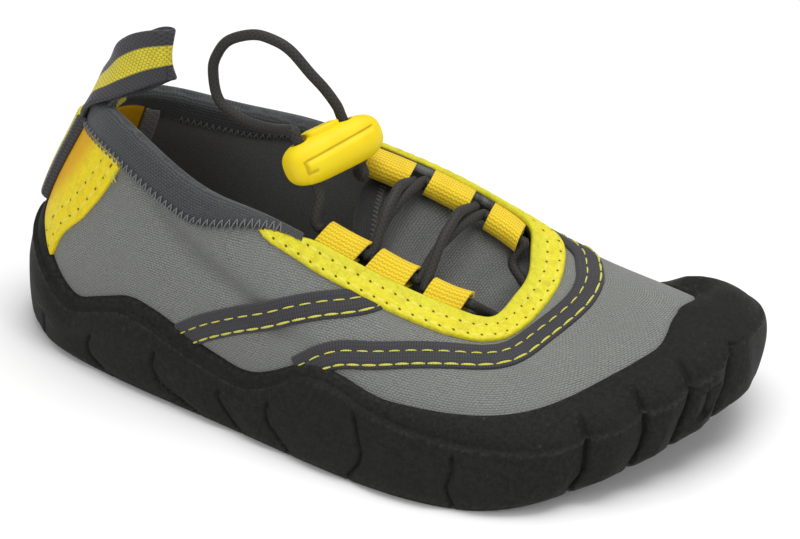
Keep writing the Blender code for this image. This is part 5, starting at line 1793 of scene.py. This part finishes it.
@dataclass
class CollarBinding:
    """Stretch tape folded over the collar and sewn with a zigzag at its lower edge."""

    tape: float = 0.9
    clear: float = 0.3
    outer: float = 8.3
    inner: float = 7.0
    narrow: float = 1.2
    inner_narrow: float = 1.4
    crown: float = 1.1
    ends: Pair = (16.38, 4.36)
    narrows: Pair = (17.7, 3.0)
    stitch_count: int = 150
    thread: float = 0.17

    def widths(self, station: Array) -> tuple[Array, Array]:
        """How far the tape reaches down outside and inside at a station.

        Args:
            station: Places round the collar.

        Returns:
            The two distances.
        """
        narrowing = (smooth((station - self.narrows[1]) / 1.3)
                     + smooth((self.narrows[0] - LAST.count - station) / 1.3))
        outside = self.outer + (self.narrow - self.outer) * narrowing
        inside = self.inner + (self.inner_narrow - self.inner) * narrowing
        heel = np.exp(-(np.abs(station) / 1.75) ** 8)
        return outside, inside * (1 - heel) + 2.6 * heel

    def build_tape(self) -> None:
        """Rounded hairpin profile, from the outer lower edge over the top to the inner one."""
        station = np.linspace(self.ends[0] - LAST.count, self.ends[1], 330)
        outside, inside = self.widths(station)
        over, under = self.clear + self.tape, -LAST.wall - self.clear - self.tape
        bend = np.linspace(0, np.pi, 17)
        middle, half = (over + under) / 2, (over - under) / 2
        steps = [(outside, 0.05), (outside + 0.2, 0.45)]
        puff = 0.35 * np.sin(np.pi * np.linspace(0.05, 0.95, 10))
        for share, swell in zip(np.linspace(0, 1, 10), puff):
            down = outside - 0.25 + (1.45 - outside) * share
            steps.append((down, over - 0.45 + swell + 0.45 * share))
        for angle in bend[1:-1]:
            down = 1.2 - (self.crown + 1.2) * np.sin(angle)
            steps.append((down, middle + half * np.cos(angle)))
        for share in np.linspace(0, 1, 6):
            steps.append((1.2 + (inside - 1.2) * share, under))
        steps.append((inside + 0.1, under + 0.7))
        steps.append((inside, -LAST.wall + 0.1))
        rings = [LAST.over(station, LAST.below_edge(station, down), high) for down, high in steps]
        points = np.stack(rings, 1)
        down = np.array([float(np.mean(step[0])) for step in steps])
        uv = paired(run_length(points[:, 8])[:, None], down)
        piece = Piece("collar_edge_binding", "binding", ("collar_binding",))
        piece.carried(Grid(points, uv)).make(BINDING.material())

    def stitches(self, outer_side: bool) -> None:
        """Zigzag legs whose corners lie in turn above and below the tape's lower edge.

        Args:
            outer_side: Whether the row shows outside the collar.
        """
        count = self.stitch_count
        station = np.linspace(self.ends[0] - LAST.count + 0.5, self.ends[1] - 0.2, count + 1)
        run = run_length(LAST.at(station, 0.9))
        station = np.interp(np.linspace(0, run[-1], count + 1), run, station)
        keep = np.abs(station[:-1] + 0.2) > (0.55 if outer_side else 1.9)
        odd = np.arange(count + 1) % 2
        width = self.widths(station)[0 if outer_side else 1]
        down = np.where(odd, width - 2.2, width + 0.9)
        tall = np.where(odd, self.clear + self.tape, 0.25)
        high = tall if outer_side else -LAST.wall - tall
        corners = LAST.over(station, LAST.below_edge(station, down), high)
        out = LAST.normal(station, LAST.below_edge(station, down)) * (1.0 if outer_side else -1.0)
        legs = zigzag(corners, out, 0.2, 0.5)[keep]
        name = "collar_zigzag_outer" if outer_side else "collar_zigzag_inner"
        piece = Piece(name, "binding").tubes(legs, self.thread)
        piece.make(GREY_THREAD.material(), closed=False)

    def build(self) -> None:
        """The tape and its two rows of stitches."""
        self.build_tape()
        self.stitches(True)
        self.stitches(False)


def overlay(name: str, slot: str, node: str, station: Array, rise: Array, inside: Array, thickness: float,
            uv: Array, finish: Material, base: float = -0.35, swell: Array | float = 0.0) -> None:
    """Sheet sewn on the upper: it follows the face at an even height and rounds off at its border.

    Args:
        name: Name of the piece.
        slot: Material slot of the record.
        node: CAD node that it stands for.
        station: Grid of stations.
        rise: Grid of rises.
        inside: Distance of each point from the border, in millimetres.
        thickness: Height of the sheet over the face.
        uv: Cloth distances.
        finish: Material.
        base: Height of its underside.
        swell: Extra height, such as puckers between stitches.
    """
    round_off = round_edge(inside, 0.8)
    top = LAST.over(station, rise, base + (thickness - base) * round_off + swell * round_off)
    bottom = LAST.over(station, rise, base)
    Piece(name, slot, (node,)).add(Grid(top, uv)).add(Grid(bottom, uv)).make(finish)


def border_distance(points: Array) -> Array:
    """Rough distance of each grid point from the nearest of the grid's four borders.

    Args:
        points: Rows and columns of points.

    Returns:
        Distances in millimetres.
    """
    along = lengths(np.diff(points, axis=0))
    across = lengths(np.diff(points, axis=1))
    zero_row, zero_column = np.zeros((1, points.shape[1])), np.zeros((points.shape[0], 1))
    from_start = np.concatenate([zero_row, np.cumsum(along, 0)])
    to_end = from_start[-1:] - from_start
    from_left = np.concatenate([zero_column, np.cumsum(across, 1)], 1)
    to_right = from_left[:, -1:] - from_left
    return np.minimum(np.minimum(from_start, to_end), np.minimum(from_left, to_right))


@dataclass
class Eyestay:
    """U-shaped facing round the throat with two rows of stitch holes."""

    thickness: float = 1.05
    # Station and the distances of its outer and inner edges down from the top edge
    rows: tuple[Triple, ...] = (
        (3.92, 2.9, 2.7), (4.0, 4.2, 1.8), (4.1, 5.0, 1.2), (4.3, 5.6, 0.4), (4.42, 6.0, -0.4),
        (4.52, 6.4, -0.8), (5.0, 6.8, -0.8), (5.5, 7.2, -0.8), (6.2, 7.9, -0.7), (6.8, 7.8, -0.2),
        (7.3, 7.2, -0.2), (8.0, 7.0, -0.8), (8.8, 7.6, -0.8), (10.0, 7.4, -0.8), (11.0, 8.0, -0.8),
        (12.0, 8.3, -0.5), (12.8, 7.8, -0.5),
        (13.5, 7.0, -0.8), (15.0, 6.6, -0.8), (16.24, 6.3, -0.8), (16.34, 6.1, 0.4), (16.5, 5.6, 1.2),
        (16.7, 4.8, 1.8), (16.88, 3.4, 2.7),
    )

    def build(self) -> None:
        """Lines between the two edges, puckered a little between stitches."""
        rows = np.array(self.rows)
        fine = np.linspace(rows[0, 0], rows[-1, 0], 1200)
        run = run_length(LAST.at(fine, 0.93))
        station = np.interp(np.linspace(0, run[-1], 520), run, fine)
        outer, inner = (np.interp(station, rows[:, 0], rows[:, k]) for k in (1, 2))
        shares = edge_shares(16, 0.12)
        down = outer[:, None] + (inner - outer)[:, None] * shares
        stations = np.broadcast_to(station[:, None], down.shape)
        rise = LAST.below_edge(stations, down)
        along = run_length(LAST.at(station, LAST.below_edge(station, outer)))
        uv = paired(along[:, None], outer[:, None] - down)
        inside = border_distance(LAST.at(stations, rise))
        pucker = 0.10 * np.sin(along / EYESTAY.spacing * TURN)[:, None] * np.sin(np.pi * shares * 2)
        overlay("eyestay_panel", "facing", "eyestay", stations, rise, inside, self.thickness, uv,
                EYESTAY.material(), swell=pucker)


@dataclass
class Stripes:
    """Dark ribbons sewn down with two rows of yellow thread."""

    width: float = 7.0
    thickness: float = 0.75
    stitch: float = 3.75
    # Stitch rows: offset from the middle in widths, shift along in stitches, share sewn and radius
    seams: tuple[tuple[float, float, float, float], ...] = (
        (0.12, 0.0, 0.78, 0.21), (-0.35, 0.4, 0.93, 0.29))
    paths: dict[str, tuple[Pair, ...]] = field(default_factory=lambda: {
        "stripe_front": ((4.55, 0.36), (4.66, 0.43), (4.78, 0.50), (4.95, 0.565), (5.2, 0.615),
                         (5.7, 0.695), (6.3, 0.755), (6.9, 0.79), (7.6, 0.815), (8.4, 0.83), (9.2, 0.83),
                         (10.1, 0.83), (11.0, 0.83), (11.8, 0.815),
                         (12.5, 0.79), (13.2, 0.76), (13.9, 0.73), (14.6, 0.69), (15.2, 0.63), (15.7, 0.57),
                         (15.95, 0.51), (16.15, 0.43), (16.3, 0.34)),
        "stripe_side_lateral": ((3.36, 0.24), (3.58, 0.335), (3.72, 0.39), (3.95, 0.475), (4.2, 0.565),
                                (4.45, 0.67), (4.68, 0.755), (4.88, 0.815), (5.08, 0.875), (5.22, 0.925)),
        "stripe_side_medial": ((17.5, 0.26), (17.3, 0.35), (17.1, 0.42), (16.85, 0.50), (16.55, 0.585),
                               (16.25, 0.66), (15.95, 0.735), (15.72, 0.79), (15.5, 0.85), (15.36, 0.90)),
    })

    def place(self, name: str, along: Array, shares: Array) -> tuple[Array, Array, Array]:
        """Stations and rises of points on a ribbon.

        Args:
            name: Which ribbon.
            along: Shares of its length.
            shares: Offsets from its middle line, in widths.

        Returns:
            Stations, rises, and the distance along the middle line.
        """
        fine = smooth_path(self.paths[name], 400)
        run = run_length(LAST.at(fine[:, 0], fine[:, 1]))
        station, rise = (np.interp(along * run[-1], run, fine[:, k]) for k in (0, 1))
        forward = LAST.at(*(np.interp(along * run[-1] + 0.5, run, fine[:, k]) for k in (0, 1)))
        backward = LAST.at(*(np.interp(along * run[-1] - 0.5, run, fine[:, k]) for k in (0, 1)))
        sideways = unit(np.cross(LAST.normal(station, rise), forward - backward))
        d_station, d_rise = LAST.shift(station, rise, sideways * self.width)
        stations = station[:, None] + d_station[:, None] * shares
        rises = rise[:, None] + d_rise[:, None] * shares
        return stations, rises, along * run[-1]

    def ribbon(self, name: str, finish: Material) -> float:
        """One ribbon of constant width along its path.

        Args:
            name: Which ribbon.
            finish: Ribbon material.

        Returns:
            The ribbon's length.
        """
        along = np.linspace(0, 1, 60 if "side" in name else 300)
        shares = edge_shares(14, 0.1) - 0.5
        station, rise, run = self.place(name, along, shares)
        uv = paired(run[:, None], shares * self.width)
        inside = border_distance(LAST.at(station, rise))
        turned = -1.0 if "medial" in name else 1.0
        pull = sum(-0.2 * np.exp(-((turned * shares - row) / 0.06) ** 2) for row, *_ in self.seams)
        overlay(name + "_ribbon", "ribbon", name, station, rise, inside, self.thickness, uv, finish,
                swell=pull)
        return float(run[-1])

    def stitches(self, name: str, length: float, finish: Material) -> None:
        """Two rows of dashes: each rises out of the ribbon and dips back into it.

        Args:
            name: Which ribbon.
            length: The ribbon's length in millimetres.
            finish: Thread material.
        """
        count = int(length / self.stitch)
        start = (np.arange(count) + 0.12) / count
        t = np.linspace(0, 1, 9)
        turned = -1.0 if "medial" in name else 1.0
        piece = Piece(name + "_stitches", "ribbon")
        for row, shift, sewn, radius in self.seams:
            along = np.clip(start[:, None] + (t * sewn + shift) / count, 0.004, 0.996)
            station, rise, _ = self.place(name, along.ravel(), np.array([turned * row]))
            high = self.thickness - 0.38 + 0.38 * np.tile(np.sin(np.pi * t) ** 0.5, count)
            legs = LAST.over(station[:, 0], rise[:, 0], high).reshape(count, 9, 3)
            piece.tubes(legs, radius)
        piece.make(finish, closed=False)

    def build(self) -> None:
        """Every ribbon with its stitches."""
        finish, thread = RIBBON.material(), YELLOW_THREAD.material()
        for name in self.paths:
            length = self.ribbon(name, finish)
            self.stitches(name, length, thread)


@dataclass
class Heel:
    """Counter, its tape patch, the lining patch inside and the pull loop."""

    counter_thickness: float = 0.95
    counter_top: float = 7.0
    counter_edge: tuple[Pair, ...] = (
        (0.0, 0.40), (0.5, 0.35), (0.9, 0.30), (1.08, 0.285), (1.22, 0.285), (1.30, 0.295),
        (1.41, 0.41), (1.55, 0.48), (1.69, 0.545), (1.80, 0.64), (1.86, 0.72), (1.91, 0.84),
    )
    # Runs on under the binding, so that the stitch holes keep their rows
    edge_end: Pair = (1.96, 0.98)
    holes_start: float = 1.26
    patch_half: float = 0.42
    patch_rises: Pair = (0.44, 0.90)
    # Thickness of the patch, height of its underside and its crown
    patch_heights: Triple = (3.0, 0.8, 0.9)
    tape_width: float = 13.0
    tape: float = 1.2
    # Share of its width that the pull tape loses under the patch, and the length over which it does
    gather: Pair = (0.4, 13.0)
    # Middle of the pull tape and the way its width points
    pull_path: tuple[tuple[float, ...], ...] = (
        (22.6, 0.6, 52.6, 0.0, 1.0, 0.0), (24.4, 0.5, 59.4, -0.1, 1.0, 0.0),
        (26.6, 0.0, 64.0, -0.3, 0.95, 0.12), (30.8, -0.9, 67.8, -0.36, 0.82, 0.42),
        (35.4, -1.9, 71.8, -0.24, 0.48, 0.84), (40.7, -2.2, 75.2, -0.08, 0.2, 1.0),
        (45.4, -1.6, 77.0, 0.02, 0.08, 1.0), (47.2, 0.0, 77.0, 0.08, 0.02, 1.0),
        (45.6, 1.2, 76.2, 0.06, 0.05, 1.0), (41.2, 1.2, 73.6, -0.02, 0.2, 1.0),
        (37.0, 1.4, 69.8, -0.15, 0.5, 0.8), (34.2, 1.0, 66.4, -0.2, 0.85, 0.35),
        (32.6, 0.5, 63.0, -0.1, 1.0, 0.1), (32.0, 0.4, 60.2, 0.0, 1.0, 0.0),
    )
    # Where the counter's edge thread has come loose, and how far each end hangs down and along
    loose: Pair = (1.9, 0.83)
    loose_ends: tuple[Pair, ...] = ((3.2, 0.6), (2.4, 1.5), (2.8, -0.4))
    thread: float = 0.22
    # Sheets inside the heel, the seam tape on each side of it: stations, rises and thickness
    lining_patch: tuple[Pair, Pair, float] = ((-1.44, 1.44), (0.35, 0.955), 0.9)
    seam: tuple[Pair, Pair, float] = ((1.42, 1.78), (0.5, 0.94), 1.3)

    def counter(self) -> None:
        """Facing that wraps the heel between the rubber and the collar binding."""
        half = smooth_path(self.counter_edge, 160)
        edge = np.concatenate([half[:0:-1] * (-1, 1), half])
        station = np.linspace(-half[-1, 0], half[-1, 0], 240)
        low = np.maximum(np.interp(station, edge[:, 0], edge[:, 1]), LAST.rim(station) - 0.03)
        high = LAST.below_edge(station, self.counter_top)
        shares = edge_shares(40, 0.05)
        rise = low[:, None] + (high - low)[:, None] * shares
        stations = np.broadcast_to(station[:, None], rise.shape)
        points = LAST.at(stations, rise)
        inside = border_distance(points)
        seam = np.concatenate([half, [self.edge_end]])
        fine = np.linspace(self.holes_start, self.edge_end[0], 90)
        lines = [LAST.at(sign * fine, np.interp(fine, *seam.T)) for sign in (1, -1)]
        gaps = [lengths(points[:, :, None] - line) for line in lines]
        side = np.where(stations > 0, gaps[0].argmin(-1), gaps[1].argmin(-1))
        from_edge = np.where(stations > 0, gaps[0].min(-1), gaps[1].min(-1))
        along = run_length(lines[0])[side]
        uv = np.stack([along, from_edge], -1)
        overlay("heel_counter_panel", "facing", "heel_counter", stations, rise, inside,
                self.counter_thickness, uv, COUNTER.material())

    def patch(self) -> None:
        """Thick tape patch down the middle of the heel, with the same band as the pull loop."""
        station = np.concatenate([-self.patch_half + 0.02 * np.array([0, 0.3]), np.linspace(-0.4, 0.4, 40),
                                  self.patch_half - 0.02 * np.array([0.3, 0])])
        rise = self.patch_rises[0] + (self.patch_rises[1] - self.patch_rises[0]) * edge_shares(60, 0.03)
        stations, rises = np.meshgrid(station, rise, indexing="ij")
        points = LAST.at(stations, rises)
        inside = border_distance(points)
        across = run_length(points[:, 30])
        across = (across - across.mean())[:, None]
        uv = paired(run_length(points[20])[None, :], across)
        thickness, base, crown = self.patch_heights
        swell = crown * (1 - (stations / self.patch_half) ** 2)
        overlay("heel_tape_patch", "ribbon", "heel_patch", stations, rises, inside, thickness, uv,
                PATCH_TAPE.material(), base, swell)

    def pull_loop(self) -> None:
        """Tape carried along the loop's path: a flat profile with rounded edges."""
        rows = smooth_path(self.pull_path, 150)
        middle, width = rows[:, :3], rows[:, 3:]
        along = unit(np.gradient(middle, axis=0))
        width = unit(width - along * (width * along).sum(-1, keepdims=True))
        through = np.cross(along, width)
        flat = (edge_shares(16, 0.06) - 0.5) * self.tape_width
        thick = self.tape / 2 * round_edge(self.tape_width / 2 - np.abs(flat), 0.6)
        across = np.concatenate([flat, flat[::-1]])
        high = np.concatenate([thick, -thick[::-1]])
        run = run_length(middle)[:, None]
        loss, reach = self.gather
        spread = across * (1 - loss * smooth(1 - run / reach))
        points = middle[:, None] + width[:, None] * spread[..., None] + through[:, None] * high[:, None]
        uv = paired(run, across)
        piece = Piece("heel_pull_loop", "ribbon", ("pull_loop",))
        piece.carried(Grid(points, uv)).make(PULL_TAPE.material())

    def inside_sheet(self, name: str, stations: Pair, rises: Pair,
                     depth: float, slot: str, finish: Material) -> None:
        """Thin sheet sewn inside the heel, just off the wall, rounded at its border.

        Args:
            name: Name of the piece.
            stations: Where it starts and ends round the heel.
            rises: Its lower and upper edges.
            depth: How far it stands off the wall.
            slot: Material slot of the record.
            finish: Material.
        """
        station, rise = np.meshgrid(np.linspace(*stations, 80), np.linspace(*rises, 40), indexing="ij")
        points = LAST.at(station, rise)
        inner = -LAST.wall - depth * round_edge(border_distance(points), 0.8)
        piece = Piece(name, slot)
        for height in (inner, -LAST.wall):
            piece.add(Grid(LAST.over(station, rise, height), points[..., 1:]))
        piece.make(finish)

    def loose_threads(self) -> None:
        """Short ends of thread at the counter's corner: each sags as the square of its length."""
        station, rise = self.loose
        start = LAST.over(station, rise, self.counter_thickness - 0.2)
        round_foot, up_rib = (unit(slope) for slope in LAST.slopes(station, rise))
        down, along = np.array(self.loose_ends).T[..., None, None]
        t = np.linspace(0, 1, 9)[:, None]
        lift = 0.5 * np.sin(np.pi * t) * LAST.normal(station, rise)
        legs = start + lift - up_rib * down * t + round_foot * along * t**2
        piece = Piece("counter_loose_threads", "facing").tubes(legs, self.thread)
        piece.make(YELLOW_THREAD.material(), closed=False)

    def build(self) -> None:
        """All the heel's pieces."""
        self.counter()
        self.loose_threads()
        self.patch()
        self.pull_loop()
        # The counter's far tint covers this patch: painted shade inside the heel.
        self.inside_sheet("heel_lining_patch", *self.lining_patch, "facing", COUNTER.material())
        (first, last), rises, depth = self.seam
        for side, ends in (("lateral", (first, last)), ("medial", (-last, -first))):
            self.inside_sheet("heel_seam_" + side, ends, rises, depth, "lining", SEAM_TAPE.material())


def main() -> None:
    """Builds the studio and every sub-assembly in order."""
    logging.basicConfig(level=logging.INFO, format="%(message)s")
    Studio().build()
    lock = CordLock().build()
    FreeCord().build(lock)
    Outsole().build()
    Upper().build()
    Insole().build()
    Tongue().build()
    CollarBinding().build()
    Eyestay().build()
    Stripes().build()
    Heel().build()
    LaceLoops().build()


if __name__ == "__main__":
    main()
